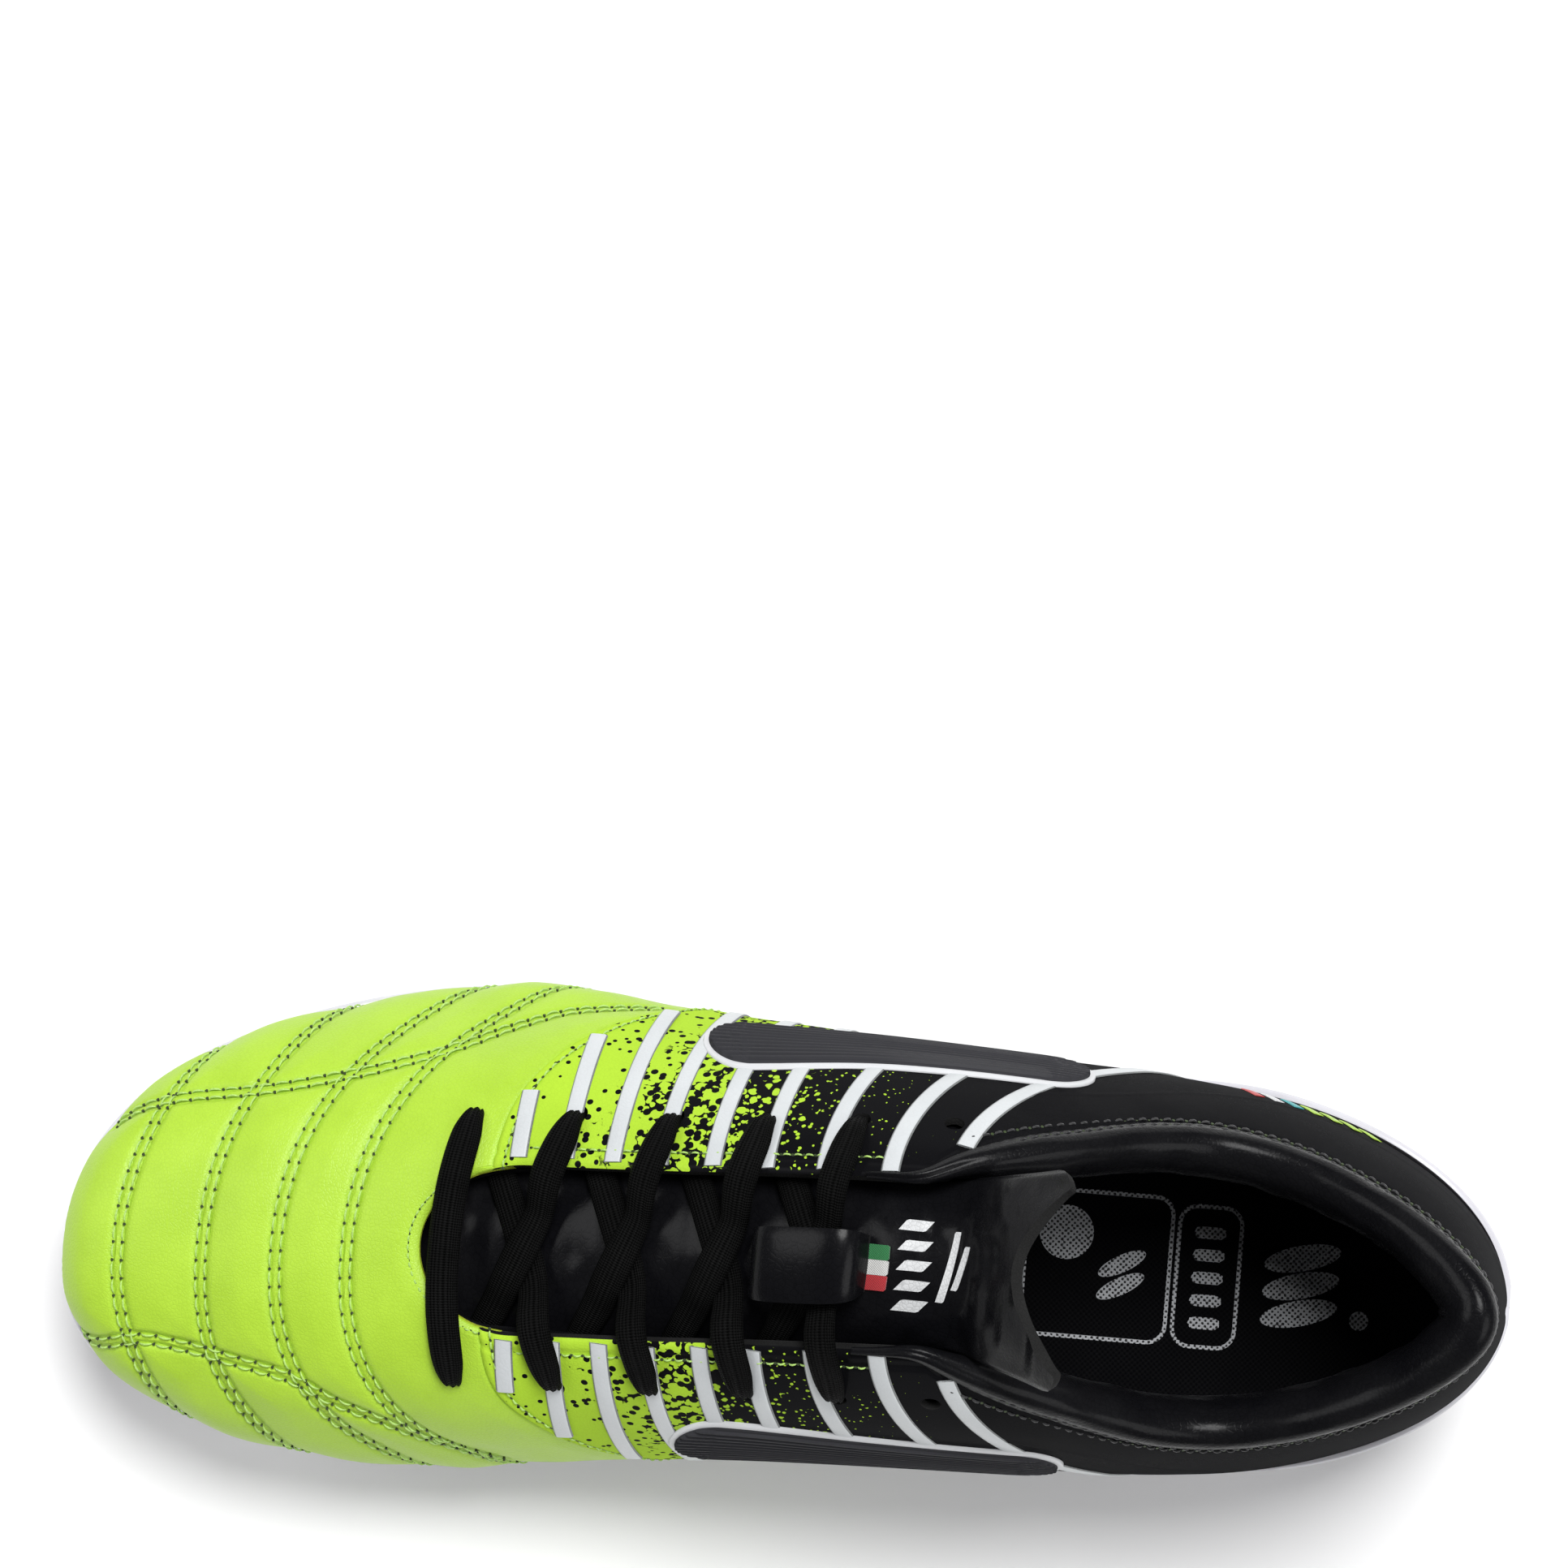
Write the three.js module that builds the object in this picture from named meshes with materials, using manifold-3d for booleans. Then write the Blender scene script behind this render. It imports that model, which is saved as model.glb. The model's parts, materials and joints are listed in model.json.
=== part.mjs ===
// A right-foot soccer cleat on a moulded stud plate, laced, in millimetres, +Z up.
// X runs from the heel to the toe, +Y is the medial side (the side of the big toe), and Z = 0 is the ground.
// The shoe is built on a last: a smooth foot-shaped surface that every layer is an offset of.
// The pieces are modelled with X = 0 at the heel's rear edge, and the whole group is then moved to
// its origin.
import * as THREE from "three";
import { mergeVertices } from "three/addons/utils/BufferGeometryUtils.js";
import Module from "manifold-3d";

const wasm = await Module();
wasm.setup();

// ---- Driving dimensions ------------------------------------------------------------------------

const HEEL_END = 2.5; // where the last starts, behind it is the heel cup's wall
const TOE_END = 284;
const HEEL_ROUND = 70; // length over which the heel's plan rounds off
const TOE_ROUND_START = 190; // where the toe's plan starts to round off
const TOE_LOW_START = 240; // where the toe box starts to slope down to the toe
const TOE_SQUARENESS = 2.3; // exponent of the toe's superellipse, 2 is an ellipse
const BULGE_HEIGHT = 0.3; // height of the widest line, as a share of a section's height

// Stations along the last, as [distance from the heel, value].
const HALF_WIDTH = [[0, 39.5], [60, 40], [80, 41], [120, 42.8], [152, 44.8], [190, 47.2]];
const CENTRE_LINE = [[190, 0], [221, 2.9], [250, 6.5], [269, 8.7], [TOE_END, 12]];
const BITE_LINE = [
  [0, 20], [40, 19], [80, 21], [120, 22.5], [160, 19.5],
  [200, 17], [230, 18.5], [255, 22.5], [275, 27.5], [285, 31],
];
const RISE = [
  [0, 84], [20, 82], [40, 79], [60, 77], [80, 78], [100, 81], [125, 78], [150, 69], [180, 58.5],
  [215, 47], [240, 38.5], [262, 30], [285, 27],
];
const RIDGE_OFFSET = [[0, 0], [60, 0], [124, -2], [170, 1], [211, 3.5], [240, 2.5], [TOE_END, 0]];
const LATERAL_TUCK = [[0, 0.92], [60, 0.88], [120, 0.82], [170, 0.9], [200, 0.945], [TOE_END, 0.97]];
const MEDIAL_TUCK = [[0, 0.92], [60, 0.84], [120, 0.72], [165, 0.84], [200, 0.945], [TOE_END, 0.97]];
const SQUARENESS = [[0, 2.15], [100, 2.05], [180, 2.05], [230, 2.3], [TOE_END, 2.4]];
// The forward lean of the heel's back, as [height, lean].
const HEEL_LEAN = [[18, 2.5], [36, 0], [60, 2], [90, 8.5], [104, 12]];

// Layers, as offsets from the last's surface.
const OUTER = [0, -1.6];
const STIFFENER = [-1.9, -2.9];
const LINING = [-3.2, -4.2];
const TONGUE = [-7, -10.2];
const COLLAR_COVER = [-1.9, -10.2];
const COLLAR_FOAM = [-3.1, -8.9];
const GAP = 0.3;

// Sole.
const PLATE_THICKNESS = 4;
const PLATE_FLANGE = 1.9; // how far the plate's lip stands outside the upper
// The lip's height above the bite line, as [station, height].
const PLATE_LIP = [[0, 21], [20, 20], [45, 13], [70, 5], [160, 3.5], [230, 4.5], [285, 6]];
const BOARD = [0.1, 1.6]; // insole board, above the bite line
const INSOLE = [1.9, 5.4]; // sockliner, above the bite line
const SLIT = { width: 1.1, top: 60, bottom: 30 }; // relief slit in the heel cup, width to each side

// Flex: the shoe bends at the ball of the foot, about an axis level with the bite line.
const FLEX_X = 209.5;
const FLEX_ANGLE = 30;
const FLEX_HALF_GAP = 0.35;

// Throat and collar.
const THROAT_HALF_WIDTH = 16.4;
const THROAT_FRONT = 214;
const THROAT_ROUND_START = 194; // where the throat's round front end starts
const THROAT_REAR = 110; // where the throat runs out into the collar's opening
const THROAT_FLOOR = 40; // the throat's cut reaches down to this height
const THROAT_CENTRE = [[114, -1.2], [132, -0.3], [150, 1], [167, 2.4], [205, 4.8]];
const TOPLINE = [
  [-8, 97], [6, 95.5], [16, 91], [30, 82], [46, 74.5], [62, 72],
  [78, 76.5], [95, 86], [108, 92], [116, 95], [126, 101], [133, 112],
];
const COLLAR_DEPTH = 22;
const EYELET_ROWS = [205, 185.5, 167, 149, 132, 114.5];
const LACED_ROWS = 5;
const EYELET_SPREAD = 26.3; // from the throat's centre line to each eyelet
const EYELET_RADIUS = 2.4;

// Seams between the panels in side view, as [height, distance from the heel].
const VAMP_SEAM = [[10, 147], [18, 153], [36, 168], [47, 181], [54, 189.5], [60, 197], [66, 201], [75, 204]];
const HEEL_SEAM = [[10, 52], [18, 58], [35, 70], [50, 81.5], [65, 94], [78, 103.5], [90, 112], [102, 117]];

// Tongue.
const TONGUE_HALF_WIDTH = [[104, 20.5], [114, 21], [124, 24], [132, 27], [150, 27.5], [208, 24]];
const TONGUE_FRONT = 208;
const FOLD_X = 112;
const FOLD_HALF_GAP = 0.2;
const TONGUE_TOP_LENGTH = 32; // from the fold to the two lobes
const TONGUE_TOP_SLOPE = 50; // degrees above level, rising to the rear
const TONGUE_NOTCH_DEPTH = 18; // how far the top edge dips between the lobes
const TONGUE_LOBE_AT = 0.82; // where the lobes reach furthest, as a share of the half width
const TONGUE_CORNER = 4; // how far the lobes' outer corners round off
const TONGUE_FLARE = 5; // how far each side spreads towards the top edge
const KEEPER = { front: 151.5, rear: 131, halfWidth: 6.8, thickness: 1, height: 7.4 };
const TAG = { front: 131, rear: 125.5, halfWidth: 5.8, thickness: 0.8 };

// Lace, a flat braid.
const LACE_WIDTH = 4.4;
const LACE_THICKNESS = 2;
const LACE_OVER = 1.8; // offset of the lace's middle where it lies on the eyestay
const LACE_UNDER = -5.6; // and where it runs between the lining and the tongue
const BUNCH_RADIUS = 1.9;
const AGLET_RADIUS = 1.2;
const AGLET_OFFSET = -6.6; // further in than the lace, because the aglet is straight and the wall isn't
// Levels of the strands, as [share of the way across, offset].
const BAR_LEVELS = [
  [0, LACE_OVER],
  [0.12, LACE_OVER],
  [0.27, LACE_OVER],
  [0.37, 0.3],
  [0.5, -0.4],
  [0.63, 0.3],
  [0.73, LACE_OVER],
  [0.88, LACE_OVER],
  [1, LACE_OVER],
];
const LOWER_LEVELS = [
  [0, LACE_UNDER],
  [0.15, LACE_UNDER],
  [0.3, LACE_UNDER],
  [0.5, LACE_UNDER],
  [0.65, LACE_UNDER],
  [0.7, -4],
  [0.75, 0.2],
  [0.8, LACE_OVER],
  [0.9, LACE_OVER],
  [1, LACE_OVER],
];
const UPPER_LEVELS = [
  [0, LACE_UNDER],
  [0.15, LACE_UNDER],
  [0.29, LACE_UNDER],
  [0.36, -3],
  [0.5, -2.9],
  [0.64, -2.9],
  [0.7, -1.6],
  [0.76, 0.6],
  [0.81, LACE_OVER],
  [0.9, LACE_OVER],
  [1, LACE_OVER],
];
const LACE_SECTION = [
  [-LACE_WIDTH / 2, 0],
  [-LACE_WIDTH / 3, LACE_THICKNESS / 2],
  [LACE_WIDTH / 3, LACE_THICKNESS / 2],
  [LACE_WIDTH / 2, 0],
  [LACE_WIDTH / 3, -LACE_THICKNESS / 2],
  [-LACE_WIDTH / 3, -LACE_THICKNESS / 2],
];

// Smaller pieces.
const BADGE_RADIUS = 9;
const BADGE_THICKNESS = 0.9;
const BADGE_HEIGHT = { front: 54, rear: 57 };
const BADGE_REACH = [88, 162];
const PUFF_EDGE = [[10, 246], [60, 246]];
const COUNTER_EDGE = [[10, 66], [40, 58], [70, 40]];
const EYESTAY_WIDTH = 15;
const EYESTAY_REAR = 106;
const COLLAR_FRONT = 100;
const STUD_TIP_RADIUS = 5;
const STUD_TAPER = 0.17; // growth in radius for each millimetre of height
const STUD_SIDES = 14;
// The studs, as [name, x, y, height of the tip above the ground].
const STUDS = [
  ["heel_lateral_rear", 24, -14, 0],
  ["heel_medial_rear", 24, 14, 0],
  ["heel_lateral_front", 56, -22, 0],
  ["heel_medial_front", 56, 22, 0],
  ["waist_lateral", 160, -28, 0],
  ["waist_medial", 166, 26, 0],
  ["ball_lateral", 190, -35, 0],
  ["ball_medial", 191, 34, 0],
  ["fore_lateral", 228, -29, 0],
  ["fore_medial", 232, 35, 0],
  ["toe_lateral", 254, -14, 2.5],
  ["toe_medial", 259, 26, 3],
];

// Mesh density.
const RINGS = 24;
const AROUND = 16;
const EYELET_SIDES = 8;
const EDGE_STEPS = 18;

const NEON = 0xb4f01e;
const BLACK = 0x0b0b0d;
const TAG_WHITE = 0xe8e8e8;
const BADGE_GREY = 0x3a3d42;
const STIFFENER_CREAM = 0xd8d2c4;
const TAPE_BLACK = 0x2a2a2a;
const LINING_GREY = 0x8c8f94;
const FOAM_GREY = 0x4a4a4a;
const BOARD_TAN = 0xcdbfa5;
const PLATE_GREY = 0xb9b8c6;

// ---- Solids --------------------------------------------------------------------------------------

// A solid from a closed skin of triangles.
function solid(geometry) {
  const bare = new THREE.BufferGeometry().setAttribute("position", geometry.getAttribute("position"));
  bare.setIndex(geometry.getIndex());
  const merged = mergeVertices(bare, 1e-4);
  return new wasm.Manifold(
    new wasm.Mesh({
      numProp: 3,
      vertProperties: merged.getAttribute("position").array,
      triVerts: new Uint32Array(merged.getIndex().array),
    }),
  );
}

// The skin of a solid.
function geometryOf(made) {
  const mesh = made.getMesh();
  const geometry = new THREE.BufferGeometry();
  geometry.setAttribute("position", new THREE.BufferAttribute(mesh.vertProperties, 3));
  geometry.setIndex(new THREE.BufferAttribute(mesh.triVerts, 1));
  return geometry;
}

// A closed skin over rings of points: each ring is a closed loop that runs clockwise as seen from the
// side that the rings advance to, and the first and last are capped.
function loft(rings) {
  const count = rings[0].length;
  const position = rings.flatMap((ring) => ring.flatMap((p) => [p.x, p.y, p.z]));
  const index = [];
  for (let i = 0; i < rings.length - 1; i++)
    for (let j = 0; j < count; j++) {
      const a = i * count + j;
      const b = i * count + ((j + 1) % count);
      index.push(a, a + count, b, b, a + count, b + count);
    }
  const last = (rings.length - 1) * count;
  for (let j = 1; j < count - 1; j++) {
    index.push(0, j, j + 1);
    index.push(last, last + j + 1, last + j);
  }
  const geometry = new THREE.BufferGeometry();
  geometry.setAttribute("position", new THREE.Float32BufferAttribute(position, 3));
  geometry.setIndex(index);
  return geometry;
}

// An outline in side view, as [x, z] points, extruded across the shoe from y0 to y1.
function sidePrism(points, y0 = -70, y1 = 70) {
  const shape = new THREE.Shape(points.map(([x, z]) => new THREE.Vector2(x, z)));
  const geometry = new THREE.ExtrudeGeometry(shape, { depth: y1 - y0, bevelEnabled: false });
  return solid(geometry.rotateX(Math.PI / 2).translate(0, y1, 0));
}

// An outline in plan, as [x, y] points, extruded upwards from z0 to z1.
function planPrism(points, z0, z1) {
  const shape = new THREE.Shape(points.map(([x, y]) => new THREE.Vector2(x, y)));
  const geometry = new THREE.ExtrudeGeometry(shape, { depth: z1 - z0, bevelEnabled: false });
  return solid(geometry.translate(0, 0, z0));
}

// The turn that lays a cylinder's own axis along a direction.
function turnFromY(direction) {
  const axis = new THREE.Vector3(0, 1, 0);
  return new THREE.Quaternion().setFromUnitVectors(axis, direction.clone().normalize());
}

// ---- The last ------------------------------------------------------------------------------------

const { abs, cos, max, min, PI, pow, sign, sin, tan } = Math;
const clamp01 = (value) => min(max(value, 0), 1);
const range = (count) => Array.from({ length: count }, (_, i) => i);

// A smooth function through stations, level beyond its ends.
function through(stations) {
  const slopes = stations.map((_, i) => {
    const [xa, ya] = stations[max(i - 1, 0)];
    const [xb, yb] = stations[min(i + 1, stations.length - 1)];
    return (yb - ya) / (xb - xa);
  });
  return (x) => {
    if (x <= stations[0][0]) return stations[0][1];
    const next = stations.findIndex(([station]) => x < station);
    if (next < 0) return stations[stations.length - 1][1];
    const [xa, ya] = stations[next - 1];
    const [xb, yb] = stations[next];
    const span = xb - xa;
    const u = (x - xa) / span;
    const a = slopes[next - 1] * span;
    const b = slopes[next] * span;
    return ya + u * (a + u * (3 * (yb - ya) - 2 * a - b + u * (2 * (ya - yb) + a + b)));
  };
}

const widthAt = through(HALF_WIDTH);
const centreAt = through(CENTRE_LINE);
const biteAt = through(BITE_LINE);
const riseAt = through(RISE);
const ridgeAt = through(RIDGE_OFFSET);
const lateralTuckAt = through(LATERAL_TUCK);
const medialTuckAt = through(MEDIAL_TUCK);
const squarenessAt = through(SQUARENESS);
const leanAt = through(HEEL_LEAN);
const throatCentreAt = through(THROAT_CENTRE);
const toplineAt = through(TOPLINE);

const superRound = (u, exponent) => pow(1 - pow(clamp01(u), exponent), 1 / exponent);

function halfWidthAt(s) {
  const heel = superRound(1 - (s - HEEL_END) / HEEL_ROUND, 2);
  const toe = superRound((s - TOE_ROUND_START) / (TOE_END - TOE_ROUND_START), TOE_SQUARENESS);
  return widthAt(s) * heel * toe;
}

// A point of the last at station s. t runs from -1 at the lateral bite line, over the ridge at 0, to 1.
function lastPoint(s, t) {
  const angle = (1 - abs(t)) * (PI / 2);
  const power = 2 / squarenessAt(s);
  const height = pow(sin(angle), power);
  const across = abs(t) === 1 ? 1 : pow(cos(angle), power);
  const tuck = t < 0 ? lateralTuckAt(s) : medialTuckAt(s);
  const below = max(0, 1 - height / BULGE_HEIGHT);
  const squeeze = 1 - (1 - tuck) * below * below;
  const low = superRound((s - TOE_LOW_START) / (TOE_END - TOE_LOW_START), 2.4);
  const z = biteAt(s) + riseAt(s) * low * height;
  const y = centreAt(s) + ridgeAt(s) * height + sign(t) * halfWidthAt(s) * across * squeeze;
  const back = max(0, 1 - (s - HEEL_END) / HEEL_ROUND);
  return new THREE.Vector3(s + leanAt(z) * back * back, y, z);
}

// The last's outward normal.
function lastNormal(s, t) {
  if (s <= HEEL_END) return new THREE.Vector3(-1, 0, 0);
  if (s >= TOE_END) return new THREE.Vector3(1, 0, 0);
  const ds = min(0.5, 0.5 * (s - HEEL_END), 0.5 * (TOE_END - s));
  const dt = 0.01;
  const along = lastPoint(s + ds, t).sub(lastPoint(s - ds, t));
  const over = lastPoint(s, min(t + dt, 1)).sub(lastPoint(s, max(t - dt, -1)));
  return over.cross(along).negate().normalize();
}

const offsetPoint = (s, t, offset) => lastPoint(s, t).addScaledVector(lastNormal(s, t), offset);

// Stations from the heel to the toe, closer together where the plan rounds off.
const stations = range(RINGS + 1).map((i) => {
  const u = (1 - cos((PI * i) / RINGS)) / 2;
  return HEEL_END + (TOE_END - HEEL_END) * (0.55 * u + (0.45 * i) / RINGS);
});
stations.splice(1, 0, HEEL_END + 0.8);
stations.splice(-1, 0, TOE_END - 0.5);

// The last as a solid, grown by offset, with straight sides reaching drop below the bite line.
function lastSolid(offset, drop = 0) {
  const rings = stations.map((s) => {
    const ring = range(AROUND + 1).map((j) => offsetPoint(s, (2 * j) / AROUND - 1, offset));
    const first = ring[0];
    const last = ring[AROUND];
    if (drop > 0) {
      ring.push(new THREE.Vector3(last.x, last.y, biteAt(s) - drop));
      ring.push(new THREE.Vector3(first.x, first.y, biteAt(s) - drop));
    }
    return ring;
  });
  return solid(loft(rings));
}

// A shell of the last between two offsets, open underneath.
const layer = ([outside, inside]) => lastSolid(outside).subtract(lastSolid(inside, 6));

// The slab between two heights above the bite line.
function soleSlab(low, high) {
  const xs = range(EDGE_STEPS + 1).map((i) => -8 + (i * 304) / EDGE_STEPS);
  const height = (value, x) => (typeof value === "function" ? value(x) : value);
  const bottom = xs.map((x) => [x, biteAt(x) + height(low, x)]);
  const top = xs.map((x) => [x, biteAt(x) + height(high, x)]);
  return sidePrism([...bottom, ...top.reverse()]);
}

// ---- Cutting regions -----------------------------------------------------------------------------

const TOP = 160;
const FLEX_Z = biteAt(FLEX_X);
const leanOver = tan((FLEX_ANGLE * PI) / 180) * (TOP - FLEX_Z);

// What turns with the toe: everything ahead of a plane that leans forward by the flex angle.
const ahead = sidePrism([
  [FLEX_X + FLEX_HALF_GAP, -20],
  [FLEX_X + FLEX_HALF_GAP, FLEX_Z],
  [FLEX_X + FLEX_HALF_GAP + leanOver, TOP],
  [500, TOP],
  [500, -20],
]);
const flexRear = FLEX_X - FLEX_HALF_GAP;
const behind = sidePrism([[-50, -20], [-50, TOP], [flexRear, TOP], [flexRear, -20]]);
const CREASE_BOTTOM = FLEX_Z + 4;
const creaseLean = tan((FLEX_ANGLE * PI) / 180) * (CREASE_BOTTOM - FLEX_Z);
const crease = sidePrism([
  [FLEX_X, CREASE_BOTTOM],
  [FLEX_X, TOP],
  [FLEX_X + leanOver, TOP],
  [FLEX_X + creaseLean, CREASE_BOTTOM],
]);

// The region above the collar's topline, moved up or down.
function aboveTopline(shift = 0) {
  const xs = range(EDGE_STEPS + 1).map((i) => -8 + (i * (TOPLINE[TOPLINE.length - 1][0] + 8)) / EDGE_STEPS);
  const edge = xs.map((x) => [x, toplineAt(x) + shift]);
  return sidePrism([[-30, TOP], [-30, edge[0][1]], ...edge, [edge[EDGE_STEPS][0], TOP]]);
}

// The throat in plan: a long slot with a round front end, grown sideways by grow.
function throat(grow = 0) {
  const half = THROAT_HALF_WIDTH + grow;
  const straight = range(5).map((i) => THROAT_REAR + i * 20);
  const centre = throatCentreAt(200);
  const round = range(11).map((i) => {
    const angle = PI / 2 - (PI * i) / 10;
    const reach = THROAT_FRONT + grow - THROAT_ROUND_START;
    return [THROAT_ROUND_START + reach * cos(angle), centre + half * sin(angle)];
  });
  return planPrism(
    [
      ...round.reverse(),
      ...straight.slice().reverse().map((x) => [x, throatCentreAt(x) + half]),
      ...straight.map((x) => [x, throatCentreAt(x) - half]),
    ],
    THROAT_FLOOR,
    TOP,
  );
}

// What lies ahead of a seam drawn in side view, with the seam moved forward by shift.
function aheadOf(seam, shift) {
  const at = through(seam);
  const heights = range(11).map((i) => 8 + i * 10);
  return sidePrism([...heights.map((z) => [at(z) + shift, z]), [500, heights[10]], [500, heights[0]]]);
}

// Holes through the upper at the eyelets.
function eyelets() {
  const holes = [];
  for (const x of EYELET_ROWS)
    for (const side of [-1, 1]) {
      const { point, normal } = eyelet(x, side);
      const hole = new THREE.CylinderGeometry(EYELET_RADIUS, EYELET_RADIUS, 16, EYELET_SIDES);
      hole.applyQuaternion(turnFromY(normal));
      holes.push(solid(hole.translate(point.x, point.y, point.z)));
    }
  return wasm.Manifold.union(holes);
}

// The t of the last's surface at a given y on one side, above its widest line.
function acrossAt(s, y, side) {
  let low = 0;
  let high = 0.72;
  for (let i = 0; i < 24; i++) {
    const middle = (low + high) / 2;
    if (side * (lastPoint(s, side * middle).y - y) < 0) low = middle;
    else high = middle;
  }
  return side * low;
}

// An eyelet's place on the last: side is -1 for lateral, 1 for medial.
function eyelet(x, side) {
  const t = acrossAt(x, throatCentreAt(x) + side * EYELET_SPREAD, side);
  return { t, point: lastPoint(x, t), normal: lastNormal(x, t) };
}

// ---- Assembly helper -----------------------------------------------------------------------------

const shoe = new THREE.Group();

function add(name, made, colour, roughness = 0.6) {
  const material = new THREE.MeshStandardMaterial({ color: colour, roughness, metalness: 0 });
  const mesh = new THREE.Mesh(made.isBufferGeometry ? made : geometryOf(made), material);
  mesh.name = name;
  shoe.add(mesh);
  return mesh;
}

// ---- Upper ---------------------------------------------------------------------------------------

const vampRegion = (shift) => aheadOf(VAMP_SEAM, shift);
const heelRegion = (shift) => aheadOf(HEEL_SEAM, shift);
const SIDE = {
  lateral: planPrism([[-50, -80], [400, -80], [400, -GAP / 2], [-50, -GAP / 2]], -20, TOP),
  medial: planPrism([[-50, GAP / 2], [400, GAP / 2], [400, 80], [-50, 80]], -20, TOP),
};

const holes = eyelets();
const openings = throat().add(aboveTopline());
const outer = layer(OUTER).subtract(openings).subtract(holes);
const quarters = outer.subtract(vampRegion(0)).intersect(heelRegion(GAP));
const vamp = outer.intersect(vampRegion(GAP));

add("vamp_toe", vamp.intersect(ahead), NEON, 0.55);
add("vamp_flex_panel", vamp.intersect(crease), NEON, 0.55);
add("vamp_wing_lateral", vamp.intersect(behind).intersect(SIDE.lateral), NEON, 0.55);
add("vamp_wing_medial", vamp.intersect(behind).intersect(SIDE.medial), NEON, 0.55);
add("quarter_lateral", quarters.intersect(SIDE.lateral), NEON, 0.5);
add("quarter_medial", quarters.intersect(SIDE.medial), NEON, 0.5);
add("heel_panel", outer.subtract(heelRegion(0)), BLACK, 0.5);

// Badges: a pill-shaped ribbed plate stuck on each quarter.
for (const side of ["lateral", "medial"]) {
  const ends = [
    [BADGE_REACH[1] - BADGE_RADIUS, BADGE_HEIGHT.front, -PI / 2],
    [BADGE_REACH[0] + BADGE_RADIUS, BADGE_HEIGHT.rear, PI / 2],
  ];
  const outline = [];
  for (const [x, z, start] of ends)
    for (const i of range(9)) {
      const angle = start + (PI * i) / 8;
      outline.push([x + BADGE_RADIUS * cos(angle), z + BADGE_RADIUS * sin(angle)]);
    }
  const badge = layer([GAP + BADGE_THICKNESS, GAP]).intersect(sidePrism(outline)).intersect(SIDE[side]);
  add(`side_badge_${side}`, badge, BADGE_GREY, 0.6);
}

// Stiffeners between the upper and the lining.
const stiffener = layer(STIFFENER).subtract(openings);
add("toe_puff", stiffener.intersect(ahead).intersect(aheadOf(PUFF_EDGE, 0)), STIFFENER_CREAM, 0.8);
const counterTop = aboveTopline(-COLLAR_DEPTH - 1);
const counter = stiffener.subtract(aheadOf(COUNTER_EDGE, 0)).subtract(counterTop);
add("heel_counter", counter, STIFFENER_CREAM, 0.8);
const eyestay = stiffener
  .intersect(throat(EYESTAY_WIDTH))
  .intersect(behind)
  .subtract(aboveTopline(-1))
  .subtract(sidePrism([[-50, -20], [-50, TOP], [EYESTAY_REAR, TOP], [EYESTAY_REAR, -20]]))
  .subtract(holes);
add("eyestay_reinforcement_lateral", eyestay.intersect(SIDE.lateral), TAPE_BLACK, 0.8);
add("eyestay_reinforcement_medial", eyestay.intersect(SIDE.medial), TAPE_BLACK, 0.8);

// Lining, one sheet in the real shoe, divided where the shoe bends and along the throat.
const lining = layer(LINING).subtract(openings).subtract(holes);
add("lining_toe", lining.intersect(ahead), LINING_GREY, 0.9);
add("lining_flex_panel", lining.intersect(crease), LINING_GREY, 0.9);
const rearLining = lining.intersect(behind).subtract(aboveTopline(-COLLAR_DEPTH - GAP));
add("lining_rear", rearLining, LINING_GREY, 0.9);

// Collar: a soft foam roll under a folded cover.
const collarZone = (low, high) => aboveTopline(low).subtract(aboveTopline(high));
const behindCollarFront = sidePrism([[-50, -20], [-50, TOP], [COLLAR_FRONT, TOP], [COLLAR_FRONT, -20]]);
const foam = layer(COLLAR_FOAM).intersect(collarZone(-COLLAR_DEPTH, -2)).intersect(behindCollarFront);
const cover = layer(COLLAR_COVER)
  .intersect(collarZone(-COLLAR_DEPTH, 0))
  .intersect(behindCollarFront)
  .subtract(layer([COLLAR_COVER[0] + 1, COLLAR_FOAM[1] - GAP]).intersect(collarZone(-TOP, -2 + GAP)));
add("collar_foam", foam, FOAM_GREY, 0.95);
add("collar_cover", cover, BLACK, 0.6);

// ---- Sole ----------------------------------------------------------------------------------------

const lipAt = through(PLATE_LIP);
const slitOutline = [[-20, SLIT.bottom], [-20, SLIT.top], [8, SLIT.top], [8, SLIT.bottom]];
const slitCut = sidePrism(slitOutline, -SLIT.width, SLIT.width);
const plate = lastSolid(PLATE_FLANGE, 8)
  .intersect(soleSlab(-PLATE_THICKNESS, lipAt))
  .subtract(lastSolid(GAP, GAP));
add("outsole_rear", plate.intersect(behind).subtract(slitCut), PLATE_GREY, 0.35);
add("outsole_forefoot", plate.intersect(ahead), PLATE_GREY, 0.35);

const inside = lastSolid(LINING[1] - GAP, 6);
const board = inside.intersect(soleSlab(...BOARD));
const sockliner = inside.intersect(soleSlab(...INSOLE));
add("insole_board_rear", board.intersect(behind), BOARD_TAN, 0.9);
add("insole_board_forefoot", board.intersect(ahead), BOARD_TAN, 0.9);
add("insole_rear", sockliner.intersect(behind), BLACK, 0.85);
add("insole_forefoot", sockliner.intersect(ahead), BLACK, 0.85);

// Moulded studs, tapered, with their tops trimmed to the plate's underside.
const underPlate = soleSlab(-60, -PLATE_THICKNESS - GAP);
for (const [name, x, y, tip] of STUDS) {
  const height = 40;
  const taper = STUD_TAPER * height;
  const top = STUD_TIP_RADIUS + taper;
  const cone = new THREE.CylinderGeometry(top, STUD_TIP_RADIUS, height, STUD_SIDES);
  cone.rotateX(PI / 2).translate(x, y, tip + height / 2);
  add(`stud_${name}`, solid(cone).intersect(underPlate), PLATE_GREY, 0.3);
}

// ---- Tongue --------------------------------------------------------------------------------------

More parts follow.
